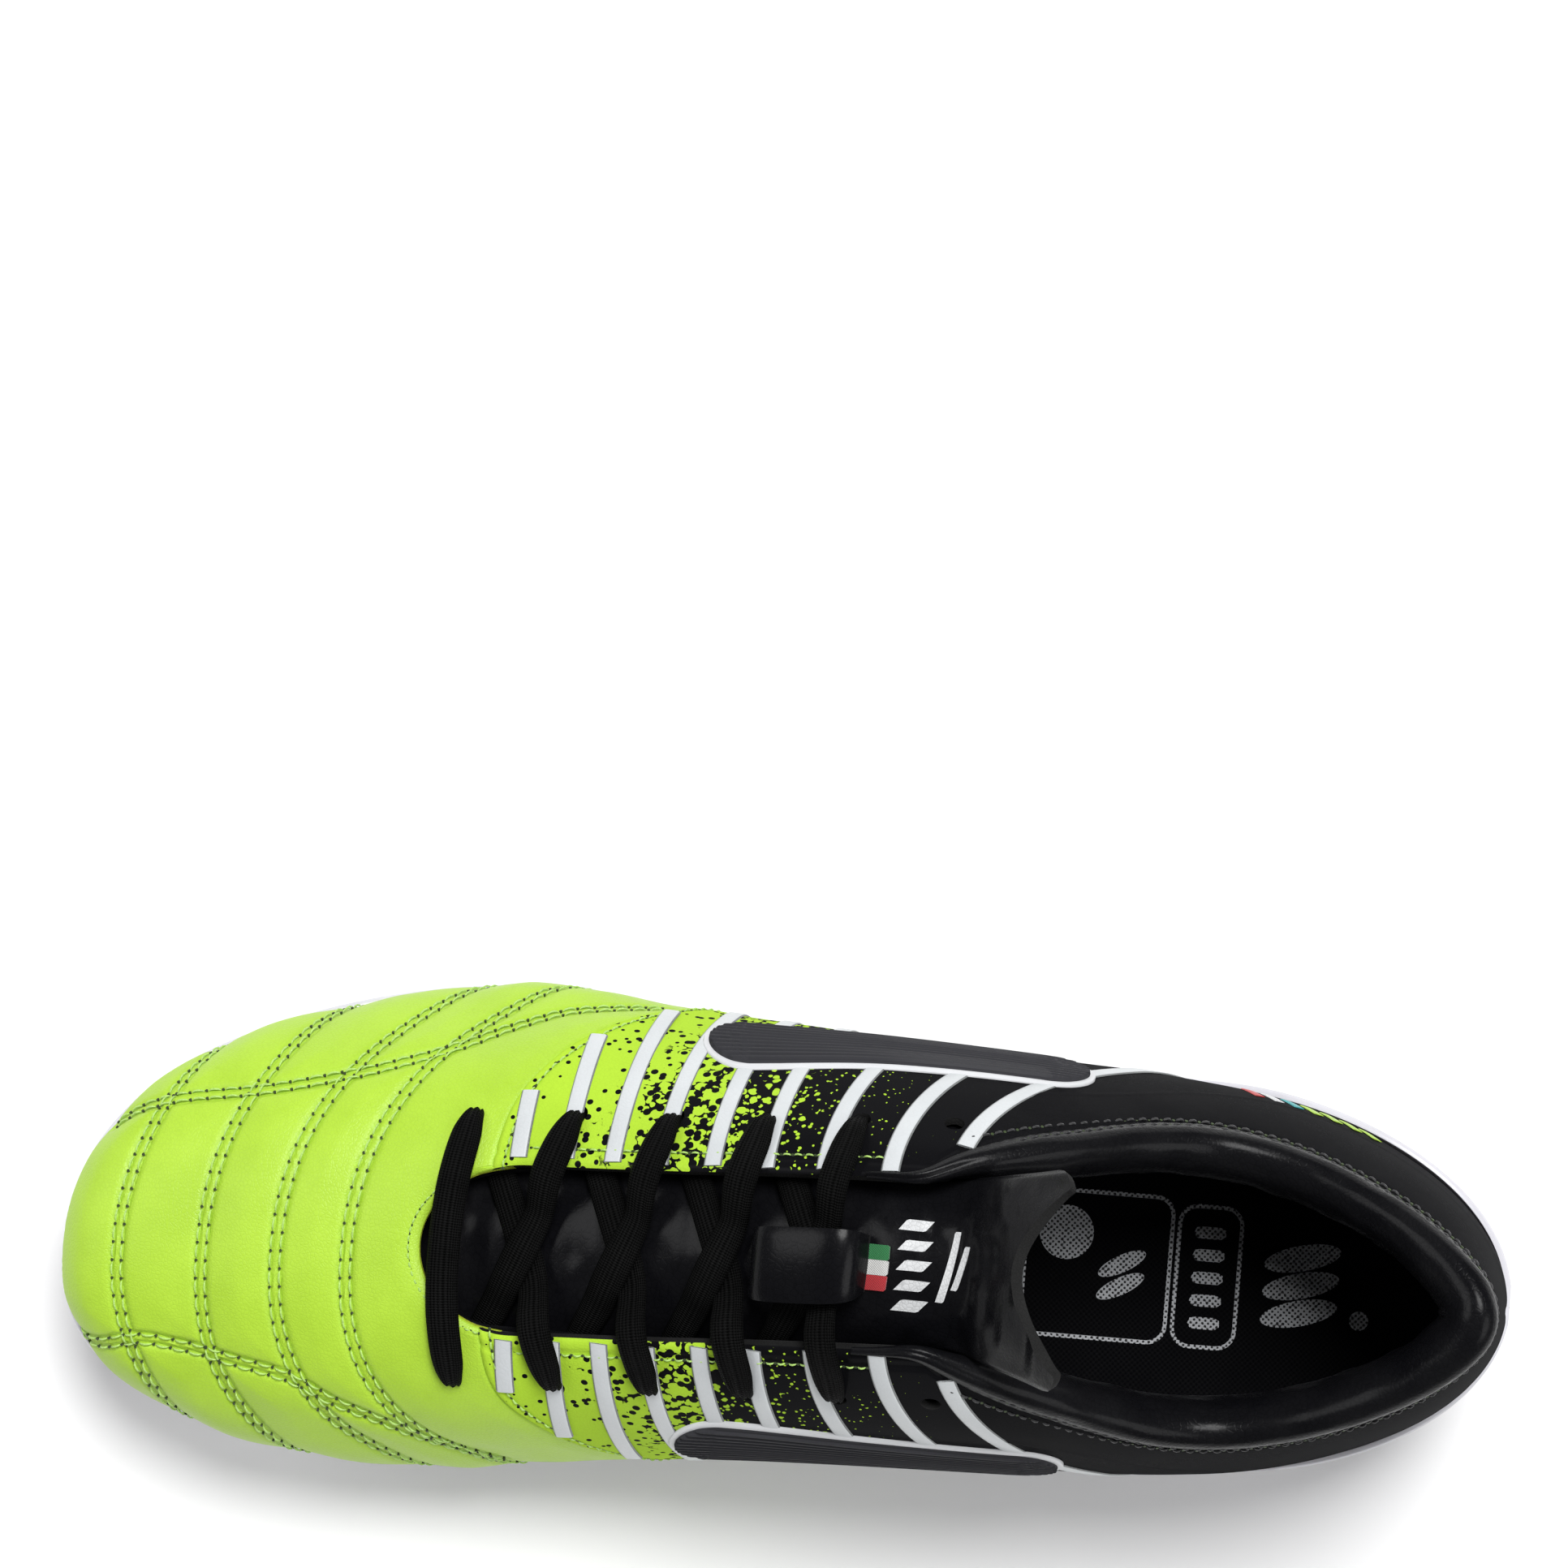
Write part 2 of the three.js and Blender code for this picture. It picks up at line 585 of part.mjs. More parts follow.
const tongueWidthAt = through(TONGUE_HALF_WIDTH);
const TONGUE_STEPS = 12;

// A ring around the tongue's section at station s, between two offsets and within a half width.
function tongueRing(s, half, [outside, inside]) {
  const centre = throatCentreAt(s);
  const at = range(TONGUE_STEPS + 1).map((i) => {
    const y = centre + half * ((2 * i) / TONGUE_STEPS - 1);
    return acrossAt(s, y, y < lastPoint(s, 0).y ? -1 : 1);
  });
  return [
    ...at.map((t) => offsetPoint(s, t, outside)),
    ...at.reverse().map((t) => offsetPoint(s, t, inside)),
  ];
}

const baseStations = range(13).map((i) => FOLD_X + (i * (TONGUE_FRONT - FOLD_X)) / 12);
const tongueBase = solid(loft(baseStations.map((s) => tongueRing(s, tongueWidthAt(s), TONGUE))));
const aheadOfFold = sidePrism([
  [FOLD_X + FOLD_HALF_GAP, 0],
  [FOLD_X + FOLD_HALF_GAP, TOP],
  [500, TOP],
  [500, 0],
]);
add("tongue_base", tongueBase.intersect(aheadOfFold), BLACK, 0.35);

// The free end of the tongue rises off the last in a straight sweep, with two lobes and a dip between.
const rise = (TONGUE_TOP_SLOPE * PI) / 180;
const foldRing = tongueRing(FOLD_X, tongueWidthAt(FOLD_X), TONGUE);
const SWEEP_STEPS = 6;
const sweep = range(SWEEP_STEPS + 1).map((i) =>
  foldRing.map((p, k) => {
    const column = k <= TONGUE_STEPS ? k : 2 * TONGUE_STEPS + 1 - k;
    const across = (2 * column) / TONGUE_STEPS - 1;
    const dip = TONGUE_NOTCH_DEPTH * cos((min(abs(across), TONGUE_LOBE_AT) / TONGUE_LOBE_AT) * (PI / 2));
    const corner = TONGUE_CORNER * (1 - superRound((abs(across) - TONGUE_LOBE_AT) / (1 - TONGUE_LOBE_AT), 2));
    const length = (TONGUE_TOP_LENGTH - dip - corner) * (1 - i / SWEEP_STEPS);
    const spread = (across * TONGUE_FLARE * length) / TONGUE_TOP_LENGTH;
    const x = p.x - FOLD_HALF_GAP - length * cos(rise);
    return new THREE.Vector3(x, p.y + spread, p.z + length * sin(rise));
  }),
);
add("tongue_top", solid(loft(sweep)), BLACK, 0.35);

// The keeper is a strap standing off the tongue, sewn down at both ends.
const KEEPER_STEPS = 12;
const KEEPER_SQUARENESS = 3.2;
const keeperRings = range(KEEPER_STEPS + 1).map((i) => {
  const u = i / KEEPER_STEPS;
  const s = KEEPER.rear + u * (KEEPER.front - KEEPER.rear);
  const lift = KEEPER.height * superRound(abs(2 * u - 1), KEEPER_SQUARENESS);
  const base = TONGUE[0] + GAP + lift;
  return tongueRing(s, KEEPER.halfWidth, [base + KEEPER.thickness, base]);
});
add("tongue_keeper", solid(loft(keeperRings)), BLACK, 0.5);
const tagRings = range(3).map((i) => {
  const s = TAG.rear + (i / 2) * (TAG.front - TAG.rear);
  return tongueRing(s, TAG.halfWidth, [TONGUE[0] + GAP + TAG.thickness, TONGUE[0] + GAP]);
});
add("tongue_tag", solid(loft(tagRings)), TAG_WHITE, 0.8);

// ---- Lace ----------------------------------------------------------------------------------------

// A flat strip along the last. path is a list of [station, t, offset].
function strip(path) {
  const points = path.map(([s, t, offset]) => ({ at: offsetPoint(s, t, offset), normal: lastNormal(s, t) }));
  const rings = points.map(({ at, normal }, i) => {
    const before = points[max(i - 1, 0)].at;
    const after = points[min(i + 1, points.length - 1)].at;
    const along = after.clone().sub(before).normalize();
    const across = normal.clone().cross(along).normalize();
    const thick = along.clone().cross(across);
    return LACE_SECTION.map(([u, v]) => at.clone().addScaledVector(across, u).addScaledVector(thick, v));
  });
  return solid(loft(rings));
}

const eyeletY = (x, side) => throatCentreAt(x) + side * EYELET_SPREAD;

// A strand across the throat. levels is a list of [share of the way across, offset].
function strand(fromX, fromSide, toX, levels) {
  return strip(
    levels.map(([share, offset]) => {
      const s = fromX + share * (toX - fromX);
      const y = eyeletY(fromX, fromSide) + share * (eyeletY(toX, -fromSide) - eyeletY(fromX, fromSide));
      return [s, acrossAt(s, y, y < lastPoint(s, 0).y ? -1 : 1), offset];
    }),
  );
}

// The bunched lace inside an eyelet.
function throughEyelet(x, side) {
  const { t, normal } = eyelet(x, side);
  const middle = offsetPoint(x, t, (LACE_OVER + LACE_UNDER) / 2);
  const bunch = new THREE.CylinderGeometry(BUNCH_RADIUS, BUNCH_RADIUS, LACE_OVER - LACE_UNDER, 8);
  bunch.applyQuaternion(turnFromY(normal));
  return solid(bunch.translate(middle.x, middle.y, middle.z));
}

// The loose end behind the last laced eyelet, tucked down inside the side wall and forwards.
// As [stations ahead of the eyelet, t beyond it, offset].
const TUCK = [
  [0, 0, LACE_UNDER],
  [-3, 0.06, LACE_UNDER],
  [-5, 0.12, -6],
  [-5.5, 0.19, AGLET_OFFSET],
  [-4.5, 0.26, AGLET_OFFSET],
  [-1, 0.33, AGLET_OFFSET],
  [5, 0.385, AGLET_OFFSET],
  [13, 0.42, AGLET_OFFSET],
  [22, 0.44, AGLET_OFFSET],
  [33, 0.45, AGLET_OFFSET],
  [44, 0.455, AGLET_OFFSET],
];
const AGLET_FROM = 44.4;
const AGLET_TO = 62;

const rows = EYELET_ROWS.slice(0, LACED_ROWS);
const lacePieces = [strand(rows[0], -1, rows[0], BAR_LEVELS)];
for (const side of [-1, 1]) {
  for (const x of rows) lacePieces.push(throughEyelet(x, side));
  for (let i = 1; i < rows.length; i++)
    lacePieces.push(strand(rows[i - 1], side, rows[i], side > 0 ? UPPER_LEVELS : LOWER_LEVELS));
  const last = rows[rows.length - 1];
  const start = eyelet(last, side).t;
  lacePieces.push(strip(TUCK.map(([ds, dt, offset]) => [last + ds, start + side * dt, offset])));
  const wall = start + side * TUCK[TUCK.length - 1][1];
  const from = offsetPoint(last + AGLET_FROM, wall, AGLET_OFFSET);
  const to = offsetPoint(last + AGLET_TO, wall, AGLET_OFFSET);
  const along = to.clone().sub(from);
  const aglet = new THREE.CylinderGeometry(AGLET_RADIUS, AGLET_RADIUS, along.length(), 10);
  aglet.applyQuaternion(turnFromY(along));
  const middle = from.add(to).multiplyScalar(0.5);
  aglet.translate(middle.x, middle.y, middle.z);
  add(`aglet_${side < 0 ? "lateral" : "medial"}`, solid(aglet), BLACK, 0.3);
}
add("lace", wasm.Manifold.union(lacePieces), BLACK, 0.9);

// ---- Placement -----------------------------------------------------------------------------------

// The origin is under the middle of the shoe, on the ground.
const box = new THREE.Box3().setFromObject(shoe);
const middle = box.getCenter(new THREE.Vector3());
shoe.position.set(-middle.x, -middle.y, -box.min.z);

export default shoe;
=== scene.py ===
"""The looks of a right-foot soccer cleat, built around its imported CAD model.

The script works in the last's own frame, in millimetres: X from the heel to the toe, +Y on the medial side,
+Z up, with the ground at Z = 0. world() turns such points into the record's frame, in metres. Every skin is
an offset of the last, the smooth foot-shaped surface that last_point() gives at a station s along the
foot and at t, which runs from -1 at the lateral sole edge over the ridge at 0 to 1 at the medial sole edge.
"""

import json
import math

import bmesh
import bpy
import numpy as np
from mathutils import Matrix, Vector
from mathutils.kdtree import KDTree

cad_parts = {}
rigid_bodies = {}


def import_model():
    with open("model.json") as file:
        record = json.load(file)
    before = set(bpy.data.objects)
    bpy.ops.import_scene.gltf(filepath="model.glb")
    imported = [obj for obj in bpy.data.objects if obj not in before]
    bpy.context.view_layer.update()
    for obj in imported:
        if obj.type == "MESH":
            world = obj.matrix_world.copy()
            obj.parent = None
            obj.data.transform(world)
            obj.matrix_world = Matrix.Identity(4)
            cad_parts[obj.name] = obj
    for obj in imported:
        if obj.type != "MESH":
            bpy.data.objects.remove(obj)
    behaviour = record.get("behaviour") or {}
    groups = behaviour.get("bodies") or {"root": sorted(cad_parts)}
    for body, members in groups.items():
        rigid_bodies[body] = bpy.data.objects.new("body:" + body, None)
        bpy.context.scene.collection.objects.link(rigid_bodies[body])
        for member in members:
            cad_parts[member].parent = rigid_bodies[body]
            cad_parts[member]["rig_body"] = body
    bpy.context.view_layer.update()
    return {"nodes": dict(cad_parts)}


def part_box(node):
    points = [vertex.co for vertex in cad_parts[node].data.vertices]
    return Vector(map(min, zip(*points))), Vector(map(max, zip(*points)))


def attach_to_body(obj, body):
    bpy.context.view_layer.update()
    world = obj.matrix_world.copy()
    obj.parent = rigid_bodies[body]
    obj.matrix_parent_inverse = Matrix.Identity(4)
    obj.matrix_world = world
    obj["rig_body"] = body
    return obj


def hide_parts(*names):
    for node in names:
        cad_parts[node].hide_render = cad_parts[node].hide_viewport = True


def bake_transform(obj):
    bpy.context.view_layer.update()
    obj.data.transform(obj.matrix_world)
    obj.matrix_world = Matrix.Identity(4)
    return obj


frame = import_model()
MM = 0.001

# ---- Dimensions, in millimetres ------------------------------------------------------------------

HEEL_END = 2.5
TOE_END = 284.0
HEEL_ROUND = 70.0
TOE_ROUND_START = 190.0
TOE_LOW_START = 240.0
TOE_SQUARENESS = 2.3
TOE_LOWNESS = 2.4
BULGE_HEIGHT = 0.3

# Stations along the last, as (distance from the heel, value).
HALF_WIDTH = [(0, 39.5), (60, 40), (80, 41), (120, 42.8), (152, 44.8), (190, 47.2)]
CENTRE_LINE = [(190, 0), (221, 2.9), (250, 6.5), (269, 8.7), (TOE_END, 12)]
BITE_LINE = [
    (0, 20), (40, 19), (80, 21), (120, 22.5), (160, 19.5), (200, 17), (230, 18.5), (255, 22.5), (275, 27.5),
    (285, 31),
]
RISE = [
    (0, 84), (20, 82), (40, 79), (60, 77), (80, 78), (100, 81), (125, 78), (150, 69), (180, 58.5),
    (215, 47), (240, 38.5), (262, 30), (285, 27),
]
RIDGE_OFFSET = [(0, 0), (60, 0), (124, -2), (170, 1), (211, 3.5), (240, 2.5), (TOE_END, 0)]
LATERAL_TUCK = [(0, 0.92), (60, 0.88), (120, 0.82), (170, 0.9), (200, 0.945), (TOE_END, 0.97)]
MEDIAL_TUCK = [(0, 0.92), (60, 0.84), (120, 0.72), (165, 0.84), (200, 0.945), (TOE_END, 0.97)]
SQUARENESS = [(0, 2.15), (100, 2.05), (180, 2.05), (230, 2.3), (TOE_END, 2.4)]
HEEL_LEAN = [(18, 2.5), (36, 0), (60, 2), (90, 8.5), (104, 12)]
THROAT_CENTRE = [(114, -1.2), (132, -0.3), (150, 1), (167, 2.4), (205, 4.8)]
TOPLINE = [
    (-8, 97), (6, 95.5), (16, 91), (30, 82), (46, 74.5), (62, 72), (78, 76.5), (95, 86), (108, 92), (116, 95),
    (126, 101), (133, 112),
]
VAMP_SEAM = [(10, 147), (18, 153), (36, 168), (47, 181), (54, 189.5), (60, 197), (66, 201), (75, 204)]
HEEL_SEAM = [(10, 52), (18, 58), (35, 70), (50, 81.5), (65, 94), (78, 103.5), (90, 112), (102, 117)]
THROAT_HALF_WIDTH = 16.4
THROAT_ROUND_START = 194.0
THROAT_FRONT = 214.0
EYELET_ROWS = (205, 185.5, 167, 149, 132, 114.5)
EYELET_SPREAD = 26.3
EYELET_RADIUS = 2.4
LACED_ROWS = 5
PLATE_LIP = [(0, 21), (20, 20), (45, 13), (70, 5), (160, 3.5), (230, 4.5), (285, 6)]
PLATE_THICKNESS = 4.0
PLATE_FLANGE = 1.9
FLEX_BLEND = (186.0, 234.0)  # where the shoe starts and stops bending at the ball of the foot
FOLD_X = 112.0
TONGUE_HALF_WIDTH = [(104, 20.5), (114, 21), (124, 24), (132, 27), (150, 27.5), (208, 24)]
TONGUE_FRONT = 220.0
TONGUE_SPLIT = 128.0  # where the tongue's two pieces meet, under its label
LEATHER = 1.6


# ---- Numbers -------------------------------------------------------------------------------------


def through(stations):
    """A smooth function through (place, value) stations, level beyond its ends."""
    place, value = np.array(stations, float).T
    count = len(place)
    before = np.maximum(np.arange(count) - 1, 0)
    after = np.minimum(np.arange(count) + 1, count - 1)
    slope = (value[after] - value[before]) / (place[after] - place[before])

    def at(x):
        x = np.clip(np.asarray(x, float), place[0], place[-1])
        k = np.clip(np.searchsorted(place, x, side="right") - 1, 0, count - 2)
        span = place[k + 1] - place[k]
        u = (x - place[k]) / span
        a = slope[k] * span
        b = slope[k + 1] * span
        low, high = value[k], value[k + 1]
        return low + u * (a + u * (3 * (high - low) - 2 * a - b + u * (2 * (low - high) + a + b)))

    return at


width_at = through(HALF_WIDTH)
centre_at = through(CENTRE_LINE)
bite_at = through(BITE_LINE)
rise_at = through(RISE)
ridge_at = through(RIDGE_OFFSET)
lateral_tuck_at = through(LATERAL_TUCK)
medial_tuck_at = through(MEDIAL_TUCK)
squareness_at = through(SQUARENESS)
lean_at = through(HEEL_LEAN)
throat_centre_at = through(THROAT_CENTRE)
topline_at = through(TOPLINE)
vamp_seam_at = through(VAMP_SEAM)
heel_seam_at = through(HEEL_SEAM)
lip_at = through(PLATE_LIP)
tongue_width_at = through(TONGUE_HALF_WIDTH)


def super_round(u, exponent):
    """1 at u = 0, falling to 0 at u = 1 along a rounded corner."""
    return (1 - np.clip(u, 0, 1) ** exponent) ** (1 / exponent)


def smooth(low, high, x):
    """0 below low, 1 above high and an S-curve between."""
    u = np.clip((np.asarray(x, float) - low) / (high - low), 0, 1)
    return u * u * (3 - 2 * u)


def bump(x, width):
    """A bell of height 1 at 0."""
    return np.exp(-((np.asarray(x, float) / width) ** 2))


def noise(x, y, cell, seed):
    """Smooth noise from -1 to 1, with features about one cell across."""
    table = np.random.default_rng(seed).uniform(-1, 1, (64, 64))
    x = np.asarray(x, float) / cell
    y = np.asarray(y, float) / cell
    i = np.floor(x).astype(int)
    j = np.floor(y).astype(int)
    u = smooth(0, 1, x - i)
    v = smooth(0, 1, y - j)
    pick = lambda a, b: table[(i + a) % 64, (j + b) % 64]
    low = pick(0, 0) * (1 - u) + pick(1, 0) * u
    high = pick(0, 1) * (1 - u) + pick(1, 1) * u
    return low * (1 - v) + high * v


def unit(vectors):
    """The vectors at length 1. One of no length stays as it is."""
    return vectors / np.maximum(np.linalg.norm(vectors, axis=-1, keepdims=True), 1e-9)


def run_length(path):
    """The distance along a path at each of its points."""
    return np.concatenate([[0], np.cumsum(np.linalg.norm(np.diff(path, axis=0), axis=1))])


# ---- The last ------------------------------------------------------------------------------------


def half_width_at(s):
    """The last's half width at its widest line, closed round at both ends."""
    heel = super_round(1 - (s - HEEL_END) / HEEL_ROUND, 2)
    toe = super_round((s - TOE_ROUND_START) / (TOE_END - TOE_ROUND_START), TOE_SQUARENESS)
    return width_at(s) * heel * toe


def toe_low(s):
    """A factor that brings the last's height down to nothing at the toe."""
    return super_round((s - TOE_LOW_START) / (TOE_END - TOE_LOW_START), TOE_LOWNESS)


def last_point(s, t):
    """The point of the last at station s and t."""
    s, t = np.broadcast_arrays(np.asarray(s, float), np.asarray(t, float))
    angle = (1 - abs(t)) * math.pi / 2
    power = 2 / squareness_at(s)
    height = np.sin(angle) ** power
    across = np.where(abs(t) >= 1, 1, np.cos(angle) ** power)
    tuck = np.where(t < 0, lateral_tuck_at(s), medial_tuck_at(s))
    below = np.maximum(0, 1 - height / BULGE_HEIGHT)
    squeeze = 1 - (1 - tuck) * below**2
    z = bite_at(s) + rise_at(s) * toe_low(s) * height
    y = centre_at(s) + ridge_at(s) * height + np.sign(t) * half_width_at(s) * across * squeeze
    back = np.maximum(0, 1 - (s - HEEL_END) / HEEL_ROUND)
    return np.stack([s + lean_at(z) * back**2, y, z], -1)


def last_normal(s, t):
    """The last's outward normal, from points close by."""
    s, t = np.broadcast_arrays(np.asarray(s, float), np.asarray(t, float))
    to_end = np.minimum(s - HEEL_END, TOE_END - s)
    ds = np.maximum(np.minimum(1, to_end) / 2, 1e-3)
    along = last_point(s + ds, t) - last_point(s - ds, t)
    over = last_point(s, np.minimum(t + 0.01, 1)) - last_point(s, np.maximum(t - 0.01, -1))
    return unit(np.cross(along, over))


def t_at_height(s, z, side):
    """The t at which the last stands at height z."""
    power = 2 / squareness_at(s)
    height = np.clip((z - bite_at(s)) / (rise_at(s) * toe_low(s)), 0, 1)
    angle = np.arcsin(height ** (1 / power))
    return side * (1 - angle / (math.pi / 2))


def t_across(s, y):
    """The t, above the widest line, at which the last is y across."""
    s, y = np.broadcast_arrays(np.asarray(s, float), np.asarray(y, float))
    side = np.where(y < last_point(s, np.zeros(s.shape))[..., 1], -1.0, 1.0)
    low = np.zeros(s.shape)
    high = np.full(s.shape, 0.75)
    for _ in range(30):
        middle = (low + high) / 2
        inside = side * (last_point(s, side * middle)[..., 1] - y) < 0
        low = np.where(inside, middle, low)
        high = np.where(inside, high, middle)
    return side * low


TOE_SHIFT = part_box("vamp_toe")[1].x / MM - TOE_END
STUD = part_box("stud_heel_medial_rear")
STUD_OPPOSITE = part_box("stud_heel_lateral_rear")
SIDE_SHIFT = (STUD[0].y + STUD[1].y + STUD_OPPOSITE[0].y + STUD_OPPOSITE[1].y) / 4 / MM
SHIFT = np.array([TOE_SHIFT, SIDE_SHIFT, 0.0])


def world(points):
    """Points of the last's frame, in metres in the record's frame."""
    return (np.asarray(points, float) + SHIFT) * MM


# ---- Meshes --------------------------------------------------------------------------------------


def make(name, points, faces, uv=None, material=None, sharp=40.0, face_slots=None):
    """A mesh object from points in the last's frame. face_slots picks each face's material from a list."""
    mesh = bpy.data.meshes.new(name)
    listed = faces.tolist() if isinstance(faces, np.ndarray) else faces
    mesh.from_pydata(world(points).tolist(), [], listed)
    if uv is not None:
        layer = mesh.uv_layers.new(name="Surface")
        corner = np.empty(len(mesh.loops), np.int32)
        mesh.loops.foreach_get("vertex_index", corner)
        layer.data.foreach_set("uv", np.asarray(uv, np.float32)[corner].ravel())
    for each in material if isinstance(material, list) else [material]:
        mesh.materials.append(each)
    if face_slots is not None:
        mesh.polygons.foreach_set("material_index", np.asarray(face_slots, np.int32))
    mesh.polygons.foreach_set("use_smooth", np.ones(len(mesh.polygons), bool))
    mesh.set_sharp_from_angle(angle=math.radians(sharp))
    mesh.validate()
    made = bpy.data.objects.new(name, mesh)
    bpy.context.scene.collection.objects.link(made)
    return made


def grid_faces(rows, columns, close_rows=False, close_columns=False):
    """The quads of a grid of points, which may close on itself either way."""
    i = np.arange(rows if close_rows else rows - 1)
    j = np.arange(columns if close_columns else columns - 1)
    i, j = np.meshgrid(i, j, indexing="ij")
    down = (i + 1) % rows
    right = (j + 1) % columns
    quads = [i * columns + j, down * columns + j, down * columns + right, i * columns + right]
    return np.stack(quads, -1).reshape(-1, 4)


def grid_normals(points):
    """A grid's normals, from its neighbouring points."""
    return unit(np.cross(np.gradient(points, axis=0), np.gradient(points, axis=1)))


def arc_uv(s, points):
    """Surface coordinates in millimetres: the station, and the arc length along each row."""
    step = np.linalg.norm(np.diff(points, axis=1), axis=-1)
    arc = np.concatenate([np.zeros((len(points), 1)), np.cumsum(step, axis=1)], axis=1)
    return np.stack([np.broadcast_to(s, arc.shape), arc - arc[:, arc.shape[1] // 2][:, None]], -1)


def shell(name, outer, inner, uv, materials, kept=None, flip=False):
    """A closed shell between two grids of points.

    kept masks the grid's faces. materials is [skin, back] or [skin, back, edge].
    """
    rows, columns = outer.shape[:2]
    faces = grid_faces(rows, columns)
    if kept is not None:
        faces = faces[kept.ravel()]
    if flip:
        faces = faces[:, ::-1]
    count = rows * columns
    edges = np.stack([faces, np.roll(faces, -1, axis=1)], -1).reshape(-1, 2)
    code = edges[:, 0].astype(np.int64) * count + edges[:, 1]
    reverse = edges[:, 1].astype(np.int64) * count + edges[:, 0]
    rim = edges[~np.isin(code, reverse)]
    sides = np.stack([rim[:, 1], rim[:, 0], rim[:, 0] + count, rim[:, 1] + count], -1)
    points = np.concatenate([outer.reshape(-1, 3), inner.reshape(-1, 3)])
    used = np.concatenate([faces, faces[:, ::-1] + count, sides])
    edge_slot = len(materials) - 1
    slots = np.repeat([0, 1, edge_slot], [len(faces), len(faces), len(sides)])
    index = np.full(len(points), -1)
    picked = np.unique(used)
    index[picked] = np.arange(len(picked))
    both = np.concatenate([uv.reshape(-1, 2)] * 2)
    return make(name, points[picked], index[used], both[picked], materials, face_slots=slots)


def tube(name, centre, across, thick, material, closed=False, sides=10, uv_scale=1.0, section=None):
    """A closed solid swept along centre: its half width is along across, its half thickness along thick."""
    if section is None:
        angle = np.arange(sides) * 2 * math.pi / sides
        section = np.stack([np.cos(angle), np.sin(angle)], -1)
    sides = len(section)
    points = centre[:, None] + section[:, 0, None] * across[:, None] + section[:, 1, None] * thick[:, None]
    faces = grid_faces(len(centre), sides, close_rows=closed, close_columns=True)[:, ::-1]
    length = run_length(centre)
    ring = np.arange(sides) / sides
    uv = np.stack(np.broadcast_arrays(length[:, None], ring[None] * uv_scale), -1)
    listed = faces.tolist()
    if not closed:
        listed.append(list(range(sides)))
        listed.append([(len(centre) - 1) * sides + k for k in range(sides)][::-1])
    return make(name, points.reshape(-1, 3), listed, uv.reshape(-1, 2), material, sharp=50)


def tangents(path, closed=False):
    """The direction of a path at each of its points."""
    if closed:
        step = np.roll(path, -1, axis=0) - np.roll(path, 1, axis=0)
    else:
        step = np.gradient(path, axis=0)
    return unit(step)


def resample(path, pitch):
    """A path's points at an even pitch."""
    length = run_length(path)
    count = max(2, int(round(length[-1] / pitch)) + 1)
    at = np.linspace(0, length[-1], count)
    return np.stack([np.interp(at, length, path[:, k]) for k in range(path.shape[1])], -1)


def merged(name, parts, material):
    """One mesh object from many (points, faces) parts."""
    points, faces, start = [], [], 0
    for part_points, part_faces in parts:
        points.append(part_points)
        faces.extend([[k + start for k in face] for face in part_faces])
        start += len(part_points)
    return make(name, np.concatenate(points), faces, None, material, sharp=50)


# ---- Materials -----------------------------------------------------------------------------------


